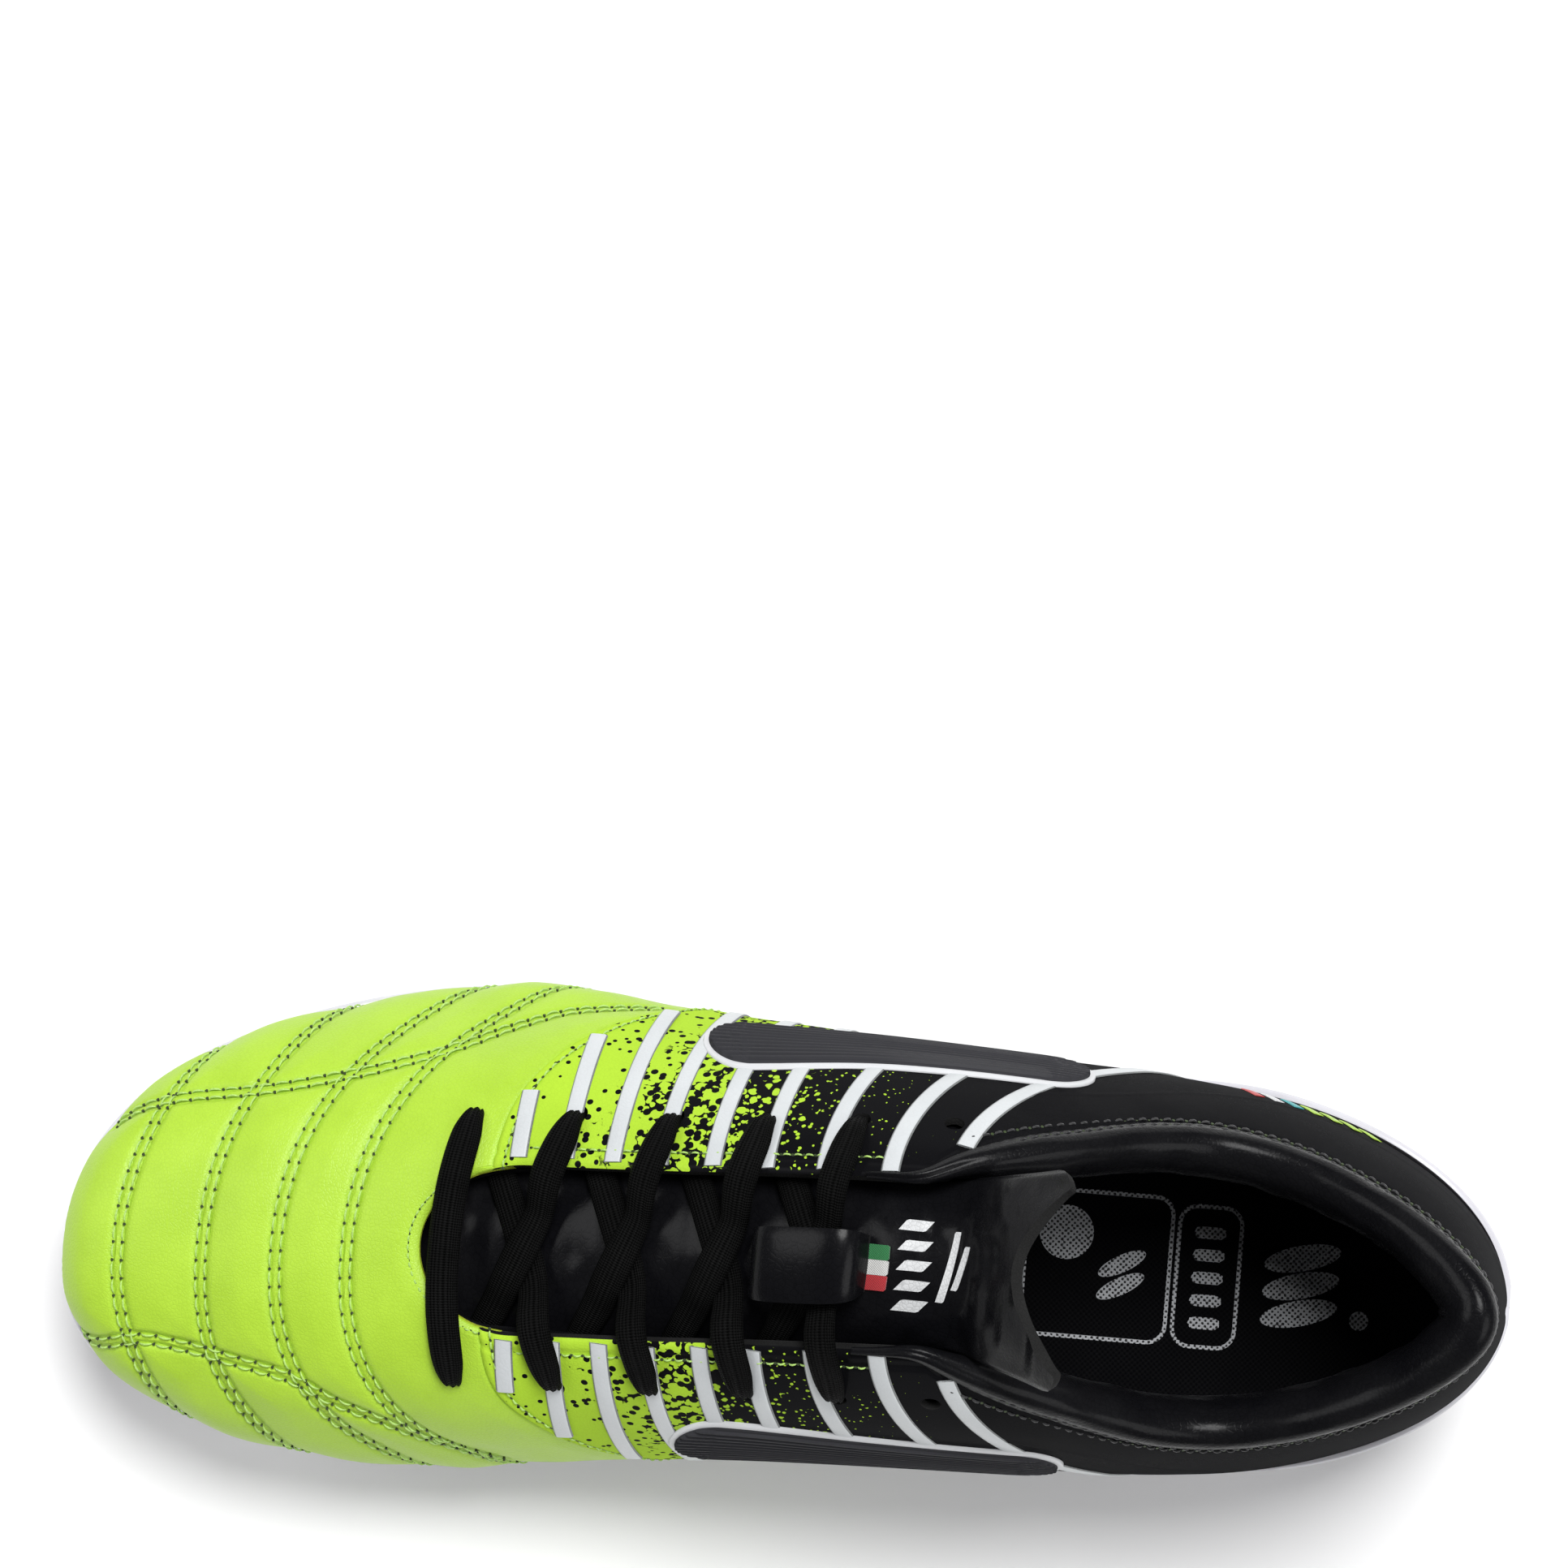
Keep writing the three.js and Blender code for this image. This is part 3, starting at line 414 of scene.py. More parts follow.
class Nodes:
    """A short way to write a material's node tree."""

    def __init__(self, name):
        self.material = bpy.data.materials.new(name)
        self.material.use_nodes = True
        self.tree = self.material.node_tree
        self.tree.nodes.clear()
        self.output = self.tree.nodes.new("ShaderNodeOutputMaterial")
        self.shader = self.add("ShaderNodeBsdfPrincipled")
        self.tree.links.new(self.shader.outputs["BSDF"], self.output.inputs["Surface"])

    def add(self, kind, **settings):
        node = self.tree.nodes.new(kind)
        for key, value in settings.items():
            setattr(node, key, value)
        return node

    def put(self, socket, value):
        """A link when value is an output socket, and a plain setting when it is a number or a colour."""
        if isinstance(value, bpy.types.NodeSocket):
            self.tree.links.new(value, socket)
        elif isinstance(value, (tuple, list)) and len(value) == 3 and socket.type == "RGBA":
            socket.default_value = (*value, 1.0)
        else:
            socket.default_value = value

    def surface(self, **values):
        for key, value in values.items():
            self.put(self.shader.inputs[key.replace("_", " ")], value)

    def math(self, operation, a, b=0.0, c=0.0, clamp=False):
        node = self.add("ShaderNodeMath", operation=operation, use_clamp=clamp)
        for socket, value in zip(node.inputs, (a, b, c)):
            self.put(socket, value)
        return node.outputs[0]

    def mix(self, factor, a, b):
        node = self.add("ShaderNodeMix", data_type="RGBA")
        self.put(node.inputs["Factor"], factor)
        self.put(node.inputs["A"], a)
        self.put(node.inputs["B"], b)
        return node.outputs["Result"]

    def ramp(self, value, low, high, from_value=0.0, to_value=1.0):
        node = self.add("ShaderNodeMapRange", clamp=True, interpolation_type="SMOOTHSTEP")
        limits = {"From Min": low, "From Max": high, "To Min": from_value, "To Max": to_value}
        for key, number in limits.items():
            self.put(node.inputs[key], number)
        self.put(node.inputs["Value"], value)
        return node.outputs["Result"]

    def place(self):
        """The point on the resting mesh, in millimetres of the last's frame."""
        where = self.add("ShaderNodeTexCoord").outputs["Object"]
        scale = self.add("ShaderNodeVectorMath", operation="MULTIPLY_ADD")
        self.put(scale.inputs[0], where)
        self.put(scale.inputs[1], (1 / MM,) * 3)
        self.put(scale.inputs[2], tuple(-SHIFT))
        return scale.outputs[0]

    def surface_place(self):
        """The surface coordinates in millimetres that arc_uv() and the sweeps leave on a mesh."""
        return self.add("ShaderNodeUVMap", uv_map="Surface").outputs["UV"]

    def split(self, vector):
        node = self.add("ShaderNodeSeparateXYZ")
        self.put(node.inputs[0], vector)
        return node.outputs

    def noise(self, vector, cell, detail=3.0, roughness=0.55):
        node = self.add("ShaderNodeTexNoise")
        self.put(node.inputs["Vector"], vector)
        node.inputs["Scale"].default_value = 1 / cell
        node.inputs["Detail"].default_value = detail
        node.inputs["Roughness"].default_value = roughness
        return node.outputs["Fac"]

    def cells(self, vector, cell, feature="F1"):
        node = self.add("ShaderNodeTexVoronoi", feature=feature)
        self.put(node.inputs["Vector"], vector)
        node.inputs["Scale"].default_value = 1 / cell
        node.inputs["Randomness"].default_value = 1.0
        return node.outputs["Distance"]

    def bump(self, height, depth, under=None):
        """Relief of depth millimetres where height runs from 0 to 1."""
        node = self.add("ShaderNodeBump")
        node.inputs["Strength"].default_value = 1.0
        node.inputs["Distance"].default_value = depth * MM
        self.put(node.inputs["Height"], height)
        if under is not None:
            self.put(node.inputs["Normal"], under)
        return node.outputs["Normal"]


def leather(name, colour, shade, roughness, grain, depth, coat=0.0, tinted=None, gloss=0.5, crack=0.75):
    """Fine-grained leather. tinted(nodes, place) may give a colour socket in place of the plain colour."""
    n = Nodes(name)
    place = n.place()
    pebble = n.cells(place, grain, "SMOOTH_F1")
    cracks = n.cells(place, grain * 1.35, "DISTANCE_TO_EDGE")
    cloud = n.noise(place, 14, 4)
    fine = n.noise(place, grain * 0.35, 2)
    base = n.mix(n.ramp(cloud, 0.3, 0.7), shade, colour)
    if tinted:
        base = tinted(n, place)
    creased = n.mix(n.ramp(cracks, 0.0, 0.09, crack, 1.0), (0.0, 0.0, 0.0), base)
    n.surface(Base_Color=creased)
    polish = n.math("ADD", n.math("MULTIPLY", cloud, 0.6), n.math("MULTIPLY", fine, 0.4))
    n.surface(Roughness=n.ramp(polish, 0.25, 0.75, roughness - 0.08, roughness + 0.1))
    relief = n.bump(n.ramp(cracks, 0.0, 0.22), depth)
    relief = n.bump(pebble, depth * 0.6, under=relief)
    n.surface(Normal=n.bump(fine, depth * 0.35, under=relief))
    n.surface(Coat_Weight=coat, Coat_Roughness=0.22, Specular_IOR_Level=gloss)
    return n.material


NEON = (0.41, 0.65, 0.043)
NEON_SHADE = (0.375, 0.60, 0.038)
INK = (0.006, 0.006, 0.007)
# The neon drops, as (spacing, station where they are gone, station where they are full, largest radius as
# a share of the spacing).
DROPS = ((4.6, 118, 188, 0.62), (2.5, 96, 180, 0.6), (1.4, 84, 180, 0.54))


def splatter(n, place):
    """Neon at the front breaking up into drops over a black ground towards the heel."""
    x, _, z = n.split(place)
    wobble = n.noise(place, 26, 3)
    front = n.math("ADD", x, n.math("MULTIPLY_ADD", wobble, 44.0, -22.0))
    low = n.math("MULTIPLY", n.math("SUBTRACT", 60.0, z), 0.55)
    reach = n.math("ADD", front, low)
    drops = None
    for cell, start, end, size in DROPS:
        warp = n.noise(place, cell * 0.8, 2)
        moved = n.add("ShaderNodeVectorMath", operation="ADD")
        n.put(moved.inputs[0], place)
        spread = n.add("ShaderNodeCombineXYZ")
        n.put(spread.inputs[0], n.math("MULTIPLY", warp, cell * 0.5))
        n.put(spread.inputs[2], n.math("MULTIPLY", warp, cell * -0.45))
        n.put(moved.inputs[1], spread.outputs[0])
        distance = n.cells(moved.outputs[0], cell)
        radius = n.ramp(reach, start, end, 0.0, size)
        here = n.ramp(n.math("SUBTRACT", radius, distance), 0.0, 0.035)
        drops = here if drops is None else n.math("MAXIMUM", drops, here)
    solid = n.ramp(n.math("ADD", reach, n.math("MULTIPLY", n.noise(place, 2.6, 3), 30.0)), 186, 190)
    covered = n.math("MAXIMUM", drops, solid)
    specks = n.cells(place, 2.3)
    speck_size = n.ramp(reach, 226, 152, 0.06, 0.4)
    black_speck = n.ramp(n.math("SUBTRACT", speck_size, specks), 0.0, 0.03)
    shown = n.math("MULTIPLY", covered, n.math("SUBTRACT", 1.0, black_speck))
    return n.mix(shown, INK, NEON)


def thread(name, colour, roughness=0.6):
    """Twisted thread."""
    n = Nodes(name)
    place = n.place()
    strands = n.noise(place, 0.35, 2)
    n.surface(Base_Color=n.mix(n.ramp(strands, 0.3, 0.7), tuple(c * 0.72 for c in colour), colour))
    n.surface(Roughness=roughness, Sheen_Weight=0.25, Sheen_Roughness=0.4)
    n.surface(Normal=n.bump(strands, 0.05))
    return n.material


def plastic(name, colour, roughness, grain=0.9, depth=0.02, subsurface=0.0, coat=0.15, gloss=0.5):
    """Moulded plastic or rubber with light scuffs."""
    n = Nodes(name)
    place = n.place()
    cloud = n.noise(place, 22, 4)
    fine = n.noise(place, grain, 3)
    scuff = n.ramp(n.noise(place, 3.2, 5, 0.7), 0.56, 0.72)
    tone = n.mix(n.ramp(cloud, 0.3, 0.7), tuple(c * 0.93 for c in colour), colour)
    n.surface(Base_Color=n.mix(n.math("MULTIPLY", scuff, 0.1), tone, tuple(c * 0.7 for c in colour)))
    wear = n.math("ADD", n.math("MULTIPLY", scuff, 0.5), n.math("MULTIPLY", cloud, 0.5))
    n.surface(Roughness=n.ramp(wear, 0.2, 0.8, roughness, roughness + 0.14))
    n.surface(Normal=n.bump(fine, depth), Coat_Weight=coat, Coat_Roughness=0.2, Specular_IOR_Level=gloss)
    n.surface(Subsurface_Weight=subsurface, Subsurface_Radius=(0.004, 0.003, 0.003))
    return n.material


def weave(
    name, colour, shade, pitch, depth=0.09, roughness=0.75, sheen=0.3, gloss=0.5, by_surface=True,
    braided=False,
):
    """Plain-woven cloth: two crossing sets of threads, over and under."""
    n = Nodes(name)
    place = n.surface_place() if by_surface else n.place()
    u, v, _ = n.split(place)
    if braided:
        u, v = n.math("ADD", u, v), n.math("SUBTRACT", u, v)
    turns = 2 * math.pi
    warp = n.math("SINE", n.math("MULTIPLY", u, turns / pitch))
    weft = n.math("SINE", n.math("MULTIPLY", v, turns / pitch))
    checker = n.math("MULTIPLY", warp, weft)
    threads = n.math("MULTIPLY_ADD", checker, 0.5, 0.5)
    cloud = n.noise(n.place(), 9, 4)
    fuzz = n.noise(n.place(), 0.3, 2)
    base = n.mix(n.ramp(threads, 0.05, 0.8), shade, colour)
    n.surface(Base_Color=n.mix(n.ramp(cloud, 0.35, 0.75, 0.0, 0.35), base, shade))
    n.surface(Roughness=n.ramp(fuzz, 0.2, 0.8, roughness - 0.1, roughness + 0.1))
    n.surface(Sheen_Weight=sheen, Sheen_Roughness=0.5, Specular_IOR_Level=gloss)
    n.surface(Normal=n.bump(fuzz, depth * 0.4, under=n.bump(threads, depth)))
    return n.material


def printed(name, colour, dark, dot):
    """A print of small dots on cloth, as on the insole."""
    n = Nodes(name)
    place = n.place()
    x, y, _ = n.split(place)
    turns = 2 * math.pi / dot
    waves = [n.math("SINE", n.math("MULTIPLY", axis, turns)) for axis in (x, y)]
    screen = n.math("MULTIPLY", *waves)
    worn = n.noise(place, 0.9, 4)
    shown = n.ramp(n.math("ADD", screen, n.math("MULTIPLY", worn, 2.4)), 0.75, 1.15)
    n.surface(Base_Color=n.mix(shown, dark, colour), Roughness=0.8)
    n.surface(Normal=n.bump(screen, 0.06))
    return n.material


VAMP_LEATHER = leather("vamp leather", NEON, NEON_SHADE, 0.42, 0.55, 0.028, gloss=0.35, crack=0.93)
PRINTED_LEATHER = leather(
    "printed leather", NEON, NEON_SHADE, 0.40, 0.6, 0.02, tinted=splatter, gloss=0.0, coat=0.06, crack=0.94
)
BLACK = (0.007, 0.007, 0.008)
DEEP_BLACK = (0.004, 0.004, 0.005)
HEEL_LEATHER = leather("black leather", BLACK, (0.005, 0.005, 0.006), 0.42, 0.7, 0.02, gloss=0.0, coat=0.06)
COLLAR_LEATHER = leather("soft collar leather", BLACK, DEEP_BLACK, 0.30, 0.9, 0.03, gloss=0.04, coat=0.12)
TONGUE_LEATHER = leather("tongue leather", INK, DEEP_BLACK, 0.26, 1.0, 0.02, gloss=0.04, coat=0.14)
DARK_EDGE = leather(
    "dark leather edge", (0.022, 0.022, 0.022), (0.015, 0.015, 0.015), 0.7, 0.5, 0.04, gloss=0.05
)
VAMP_EDGE = leather("vamp leather edge", (0.42, 0.52, 0.02), (0.34, 0.42, 0.02), 0.7, 0.5, 0.04)
LINING_CLOTH = weave("lining cloth", (0.009, 0.009, 0.010), (0.003, 0.003, 0.004), 0.9, sheen=0.0, gloss=0.04)
INSOLE_CLOTH = weave(
    "insole cloth", (0.004, 0.004, 0.0045), (0.001, 0.001, 0.0015), 1.1, sheen=0.0, gloss=0.03,
    by_surface=False,
)
INSOLE_PRINT = printed("insole print", (0.42, 0.43, 0.45), (0.008, 0.008, 0.009), 1.15)
LACE_CLOTH = weave(
    "lace cloth", (0.008,) * 3, (0.0006,) * 3, 1.0, depth=0.28, roughness=0.55, sheen=0.0, gloss=0.03,
    braided=True,
)
STRIPE_INK = leather(
    "stripe film", (0.60, 0.625, 0.64), (0.56, 0.585, 0.60), 0.36, 0.8, 0.015, coat=0.1, crack=0.97
)
# Painted shade: a grey film a little wider than each stripe stands in for the shade along its raised edges.
STRIPE_EDGE_SHADE = leather("stripe edge", (0.20, 0.21, 0.21), (0.16, 0.17, 0.17), 0.45, 0.6, 0.03)
NEON_THREAD = thread("pale green thread", (0.46, 0.72, 0.17))
BLACK_THREAD = thread("black thread", (0.02, 0.02, 0.022))
# Painted shade: dark green discs at the needle holes stand in for the shade inside them.
NEEDLE_HOLE_SHADE = thread("needle hole", (0.03, 0.055, 0.008), 0.9)
SOLE_PLASTIC = plastic("sole plastic", (0.66, 0.655, 0.70), 0.3, subsurface=0.12)
STUD_PLASTIC = plastic("stud plastic", (0.62, 0.61, 0.67), 0.3, subsurface=0.1)
BADGE_RUBBER = plastic("badge rubber", (0.04, 0.04, 0.045), 0.55, depth=0.006, coat=0.03, gloss=0.02)
BADGE_OUTLINE = plastic("badge outline", (0.66, 0.67, 0.69), 0.4)
TAG_COLOURS = (
    ("green", (0.02, 0.22, 0.06), (0.01, 0.10, 0.03)),
    ("white", (0.72, 0.72, 0.70), (0.42, 0.42, 0.41)),
    ("red", (0.55, 0.02, 0.03), (0.26, 0.01, 0.015)),
)
TEAL_INK = leather("teal ink", (0.02, 0.36, 0.38), (0.02, 0.28, 0.30), 0.4, 0.6, 0.03)
RED_INK = leather("red ink", (0.55, 0.03, 0.03), (0.42, 0.02, 0.02), 0.4, 0.6, 0.03)
PALE_INK = leather("pale ink", (0.70, 0.71, 0.72), (0.60, 0.61, 0.62), 0.42, 0.6, 0.03)
NEON_INK = leather("neon ink", NEON, NEON_SHADE, 0.42, 0.6, 0.03)
BOARD = plastic("stiffener board", (0.42, 0.34, 0.24), 0.8, grain=0.6, depth=0.06, coat=0.0)
TAPE = weave(
    "reinforcement tape", (0.02, 0.02, 0.02), (0.008, 0.008, 0.008), 0.7, by_surface=False, sheen=0.05
)
FOAM = plastic("collar foam", (0.55, 0.52, 0.42), 0.9, grain=0.5, depth=0.15, coat=0.0)
AGLET = plastic("aglet plastic", (0.05, 0.05, 0.055), 0.2, coat=0.4)


# ---- Bodies --------------------------------------------------------------------------------------


def bends(piece, slot, *nodes):
    """Bakes the piece's placement into its mesh and hides the CAD nodes that it stands for."""
    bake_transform(piece)
    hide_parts(*nodes)


def folds(piece, slot, *nodes):
    """Bakes the piece's placement into its mesh and hides the CAD nodes that it stands for."""
    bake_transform(piece)
    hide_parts(*nodes)


def stays(piece, slot, *nodes):
    """The piece moves with the rear of the shoe."""
    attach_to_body(piece, "rear")
    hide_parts(*nodes)


# ---- Stitches and strips -------------------------------------------------------------------------


STITCH_SIDES = 6
STITCH_LIFT = 0.25  # how high a stitch's middle stands over the leather
STITCH_SINK = -0.2  # how deep the vamp's rows sit in their grooves
# Five rings along one stitch, which dives into the leather at both ends: place, height and girth as shares.
STITCH_PLACE = np.array([0.0, 0.16, 0.5, 0.84, 1.0])
STITCH_BOW = np.array([-0.9, 0.35, 1.0, 0.35, -0.9])
STITCH_GIRTH = np.array([0.45, 0.9, 1.0, 0.9, 0.45])
HOLE_MARGIN = 0.07  # how much wider than the thread the painted shade of a needle hole is, at its radius


def stitch_parts(points, normals, pitch, radius):
    """The thread of one row of stitches, and dark discs of painted shade at its needle holes."""
    row = resample(np.concatenate([points, normals], axis=1), pitch)
    points, normals = row[:, :3], row[:, 3:]
    threads, holes = [], []
    angle = np.arange(STITCH_SIDES) * 2 * math.pi / STITCH_SIDES
    cos, sin = np.cos(angle)[:, None], np.sin(angle)[:, None]
    last = len(STITCH_PLACE) * STITCH_SIDES
    for a, b, normal in zip(points[:-1], points[1:], normals[:-1]):
        along = b - a
        side = unit(np.cross(normal, along))
        centre = a + along * 0.14 + STITCH_PLACE[:, None] * along * 0.72
        centre += (STITCH_BOW * STITCH_LIFT)[:, None] * normal
        body = centre[:, None] + (STITCH_GIRTH * radius)[:, None, None] * (cos * side + sin * normal)[None]
        faces = grid_faces(len(STITCH_PLACE), STITCH_SIDES, close_columns=True)[:, ::-1].tolist()
        ends = [list(range(STITCH_SIDES)), list(range(last - STITCH_SIDES, last))[::-1]]
        threads.append((body.reshape(-1, 3), faces + ends))
    for point, normal in zip(points, normals):
        side = unit(np.cross(normal, points[-1] - points[0]))
        over = np.cross(side, normal)
        hole = HOLE_MARGIN + radius
        top = point + (over * sin * 1.3 + side * cos) * hole + normal * 0.05
        bottom = point + (cos * side + sin * over) * hole * 0.8 - normal * 0.5
        faces = grid_faces(2, STITCH_SIDES, close_columns=True).tolist()
        ends = [list(range(STITCH_SIDES))[::-1], list(range(STITCH_SIDES, 2 * STITCH_SIDES))]
        holes.append((np.concatenate([top, bottom]), faces + ends))
    return threads, holes


def sew(name, rows, attach, slot, material, pitch, radius):
    """One object of thread and one of needle-hole painted shade for all rows, each given as (points,
    normals).
    """
    threads, holes = [], []
    for points, normals in rows:
        more_threads, more_holes = stitch_parts(points, normals, pitch, radius)
        threads += more_threads
        holes += more_holes
    attach(merged(name + "_thread", threads, material), slot)
    attach(merged(name + "_needle_holes", holes, NEEDLE_HOLE_SHADE), slot)


def surface_row(s, t, offset):
    """A path on an offset of the last, with its normals."""
    normals = last_normal(s, t)
    return last_point(s, t) + normals * np.asarray(offset, float)[..., None], normals


# A strip's section, as shares of its half width and height.
STRIP_SECTION = np.array(
    [(0, -0.5), (1, -0.5), (0.93, 0.55), (0.75, 0.95), (0, 1.0), (-0.75, 0.95), (-0.93, 0.55), (-1, -0.5)]
)


def strip_on(name, s, t, width, offset, height, material):
    """A flat raised strip along a path on the last."""
    path, normals = surface_row(s, t, offset)
    across = unit(np.cross(normals, tangents(path)))
    return tube(name, path, across * width / 2, normals * height, material, section=STRIP_SECTION)


# ---- Vamp ----------------------------------------------------------------------------------------

SIDES = {"lateral": -1, "medial": 1}


def throat_half_width(s):
    """Half the width of the throat, the opening under the lace."""
    return THROAT_HALF_WIDTH * super_round((s - THROAT_ROUND_START) / (THROAT_FRONT - THROAT_ROUND_START), 2)


def throat_middle(s):
    """The y of the throat's middle line."""
    return throat_centre_at(np.minimum(s, 200))


def seam_station(seam_at, t):
    """The station at which a seam, drawn in side view, crosses each t."""
    s = np.full(np.shape(t), 150.0)
    for _ in range(60):
        s = 0.5 * (s + seam_at(last_point(s, t)[..., 2]))
    return s


def throat_front_station(t):
    """The station of the throat's round front at each t."""
    low = np.full(np.shape(t), THROAT_ROUND_START - 60)
    high = np.full(np.shape(t), THROAT_FRONT)
    for _ in range(40):
        middle = (low + high) / 2
        inside = abs(last_point(middle, t)[..., 1] - throat_middle(middle)) < throat_half_width(middle)
        low = np.where(inside, middle, low)
        high = np.where(inside, high, middle)
    return high


def throat_edge_t(s, side, grow=0.0):
    """The t of the throat's edge, or of a line grow millimetres outside it."""
    return t_across(s, throat_middle(s) + side * (throat_half_width(s) + grow))


# Quilting seams across the vamp, as (station on the ridge, how far the ends curve back).
CROSS_SEAMS = ((273, 20), (256.5, 28), (241.7, 42), (227.9, 48))
# Quilting seams along the vamp, as (station, t).
LATERAL_SEAM = [
    (171.5, -0.825), (190.6, -0.722), (201.5, -0.647), (209.5, -0.585), (218, -0.54), (230, -0.50),
    (248, -0.50), (266, -0.59), (275.5, -0.72),
]
MEDIAL_SEAM = [
    (196, 0.80), (208.5, 0.655), (219, 0.538), (229.7, 0.455), (237, 0.387), (248.6, 0.357), (259, 0.357),
    (270, 0.43), (279.4, 0.73),
]


def quilting_paths():
    """The middle lines of the vamp's double seams, as (s, t) pairs."""
    paths = []
    t = np.linspace(-0.93, 0.93, 160)
    for peak, curve in CROSS_SEAMS:
        s = peak - curve * t**2
        clear = s > vamp_edge_station(t) + 4
        paths.append((s[clear], t[clear]))
    for seam in (LATERAL_SEAM, MEDIAL_SEAM):
        s = np.linspace(seam[0][0], seam[-1][0], 160)
        paths.append((s, through(seam)(s)))
    return paths


def vamp_edge_station(t):
    """The station at which the vamp's visible leather starts at each t."""
    return np.maximum(seam_station(vamp_seam_at, t), throat_front_station(t))


QUILT_SPACING = 1.0  # from the middle of a double seam to each of its rows
GROOVE_DEPTH = 0.62
GROOVE_WIDTH = 0.62
PAD_SWELL = 0.42  # how far the padding swells between the seams


def quilting(points):
    """How far the padded leather swells, in millimetres, at points of the last."""
    tree = KDTree(4000)
    count = 0
    for s, t in quilting_paths():
        for point in resample(last_point(s, t), 0.6):
            tree.insert(point, count)
            count += 1
    tree.balance()
    flat = points.reshape(-1, 3)
    distance = np.array([tree.find(point)[2] for point in flat]).reshape(points.shape[:-1])
    groove = GROOVE_DEPTH * bump(distance - QUILT_SPACING, GROOVE_WIDTH) + 0.25 * bump(distance, 2.4)
    return PAD_SWELL * smooth(1.5, 8.5, distance) - groove


def spread_columns(count, start, end_station, t):
    """Stations from start to end_station at each t, evenly spaced over the surface."""
    u = np.linspace(0, 1, 500)[:, None]
    s = end_station - (end_station - start)[None] * (1 - u) ** 2
    step = np.linalg.norm(np.diff(last_point(s, t[None]), axis=0), axis=-1)
    arc = np.concatenate([np.zeros((1, len(t))), np.cumsum(step, axis=0)])
    columns = [np.interp(np.linspace(0, arc[-1, k], count), arc[:, k], s[:, k]) for k in range(len(t))]
    return np.stack(columns, axis=1)


TOE_TIP = TOE_END - 0.004
VAMP_MEET = 219.0  # just ahead of the throat, where all columns of the vamp come level
VAMP_REAR_ROWS = 55
VAMP_FRONT_ROWS = 125
VAMP_COLUMNS = 230
UNDERLAP = 4.0  # how far the vamp runs under the quarters


def over_lip_swell(base, s, lateral):
    """The leather bulges out over the sole's lip round the toe."""
    over_lip = base[..., 2] - bite_at(s) - lip_at(s)
    reach = 1.9 - 0.9 * bump(s - 225, 20) * lateral
    return reach * smooth(-0.6, 2.2, over_lip) * smooth(22, 8, over_lip) * smooth(168, 205, s)


def build_vamp():
    """The quilted leather over the toes, with its stitches."""
    t = np.linspace(-1, 1, VAMP_COLUMNS)
    seam = seam_station(vamp_seam_at, t)
    front = throat_front_station(t)
    start = np.maximum(seam - UNDERLAP, front)
    behind = spread_columns(VAMP_REAR_ROWS, start, VAMP_MEET, t)
    ahead = spread_columns(VAMP_FRONT_ROWS, np.full(t.shape, VAMP_MEET), TOE_TIP, t)
    s = np.concatenate([behind[:-1], ahead])
    tt = np.broadcast_to(t, s.shape)
    base = last_point(s, tt)
    normals = last_normal(s, tt)
    under_quarter = smooth(0.6, -0.9, s - seam[None])
    swell = quilting(base) * smooth(0, 5, s - np.maximum(seam, front)[None])
    swell += 0.18 * noise(base[..., 0], base[..., 1], 13, 3)
    swell += over_lip_swell(base, s, tt < 0)
    throat_roll = -0.9 * np.exp(-(s - front[None]) / 0.8) * (front >= seam - UNDERLAP)[None]
    outer = base + normals * (swell - 0.75 * under_quarter + throat_roll)[..., None]
    inner = base - normals * (LEATHER + 0.5 * under_quarter)[..., None]
    made = shell("vamp", outer, inner, arc_uv(s, base), [VAMP_LEATHER, VAMP_EDGE])
    bends(made, "vamp_leather", "vamp_toe", "vamp_flex_panel", "vamp_wing_lateral", "vamp_wing_medial")
    rows = []
    for s, t in quilting_paths():
        offset = over_lip_swell(last_point(s, t), s, t < 0) + STITCH_SINK
        path, normals = surface_row(s, t, offset)
        across = np.cross(normals, tangents(path))
        for side in (-1, 1):
            rows.append((path + side * QUILT_SPACING * across, normals))
    sew("vamp_seams", rows, bends, "vamp_leather", NEON_THREAD, pitch=3.5, radius=0.2)
    edge_t = np.linspace(-0.17, 0.215, 120)
    edge_row = surface_row(throat_front_station(edge_t) + 1.9, edge_t, -0.02)
    sew("throat_seam", [edge_row], bends, "vamp_leather", NEON_THREAD, pitch=1.7, radius=0.18)


# ---- Quarters ------------------------------------------------------------------------------------

QUARTER_ROWS = 120
QUARTER_COLUMNS = 190
SEAM_INSET = 2.34  # from a quarter's front edge to its stitches
BROW_COLUMNS = 8  # the columns between the heel seam and the throat
QUARTER_LIFT = 0.55  # how far the quarters' front edges stand over the vamp


def coons(bottom, top, left, right):
    """A grid in (s, t) between four edges. bottom and top run forward, left and right run up."""
    v = np.linspace(0, 1, len(left))[:, None, None]
    u = np.linspace(0, 1, len(bottom))[None, :, None]
    ruled = (1 - v) * bottom[None] + v * top[None] + (1 - u) * left[:, None] + u * right[:, None]
    low_corners = (1 - v) * ((1 - u) * bottom[0] + u * bottom[-1])
    high_corners = v * ((1 - u) * top[0] + u * top[-1])
    return ruled - low_corners - high_corners


def seam_path(seam_at, side, t_top, count):
    """A seam up one side, from the sole to t_top, as (s, t)."""
    t = side * np.linspace(1, abs(t_top), count)
    return np.stack([seam_station(seam_at, t), t], -1)


def corner_t(side):
    """The t at which the vamp seam meets the throat's edge."""
    t = side * np.linspace(0.05, 0.5, 400)
    gap = seam_station(vamp_seam_at, t) - throat_front_station(t)
    return t[np.argmin(abs(gap))]


def topline_corner(side):
    """Where the heel seam meets the topline, as (s, t)."""
    t = side * np.linspace(0.1, 0.6, 600)
    s = seam_station(heel_seam_at, t)
    gap = last_point(s, t)[..., 2] - topline_at(s)
    k = np.argmin(abs(gap))
    return s[k], t[k]


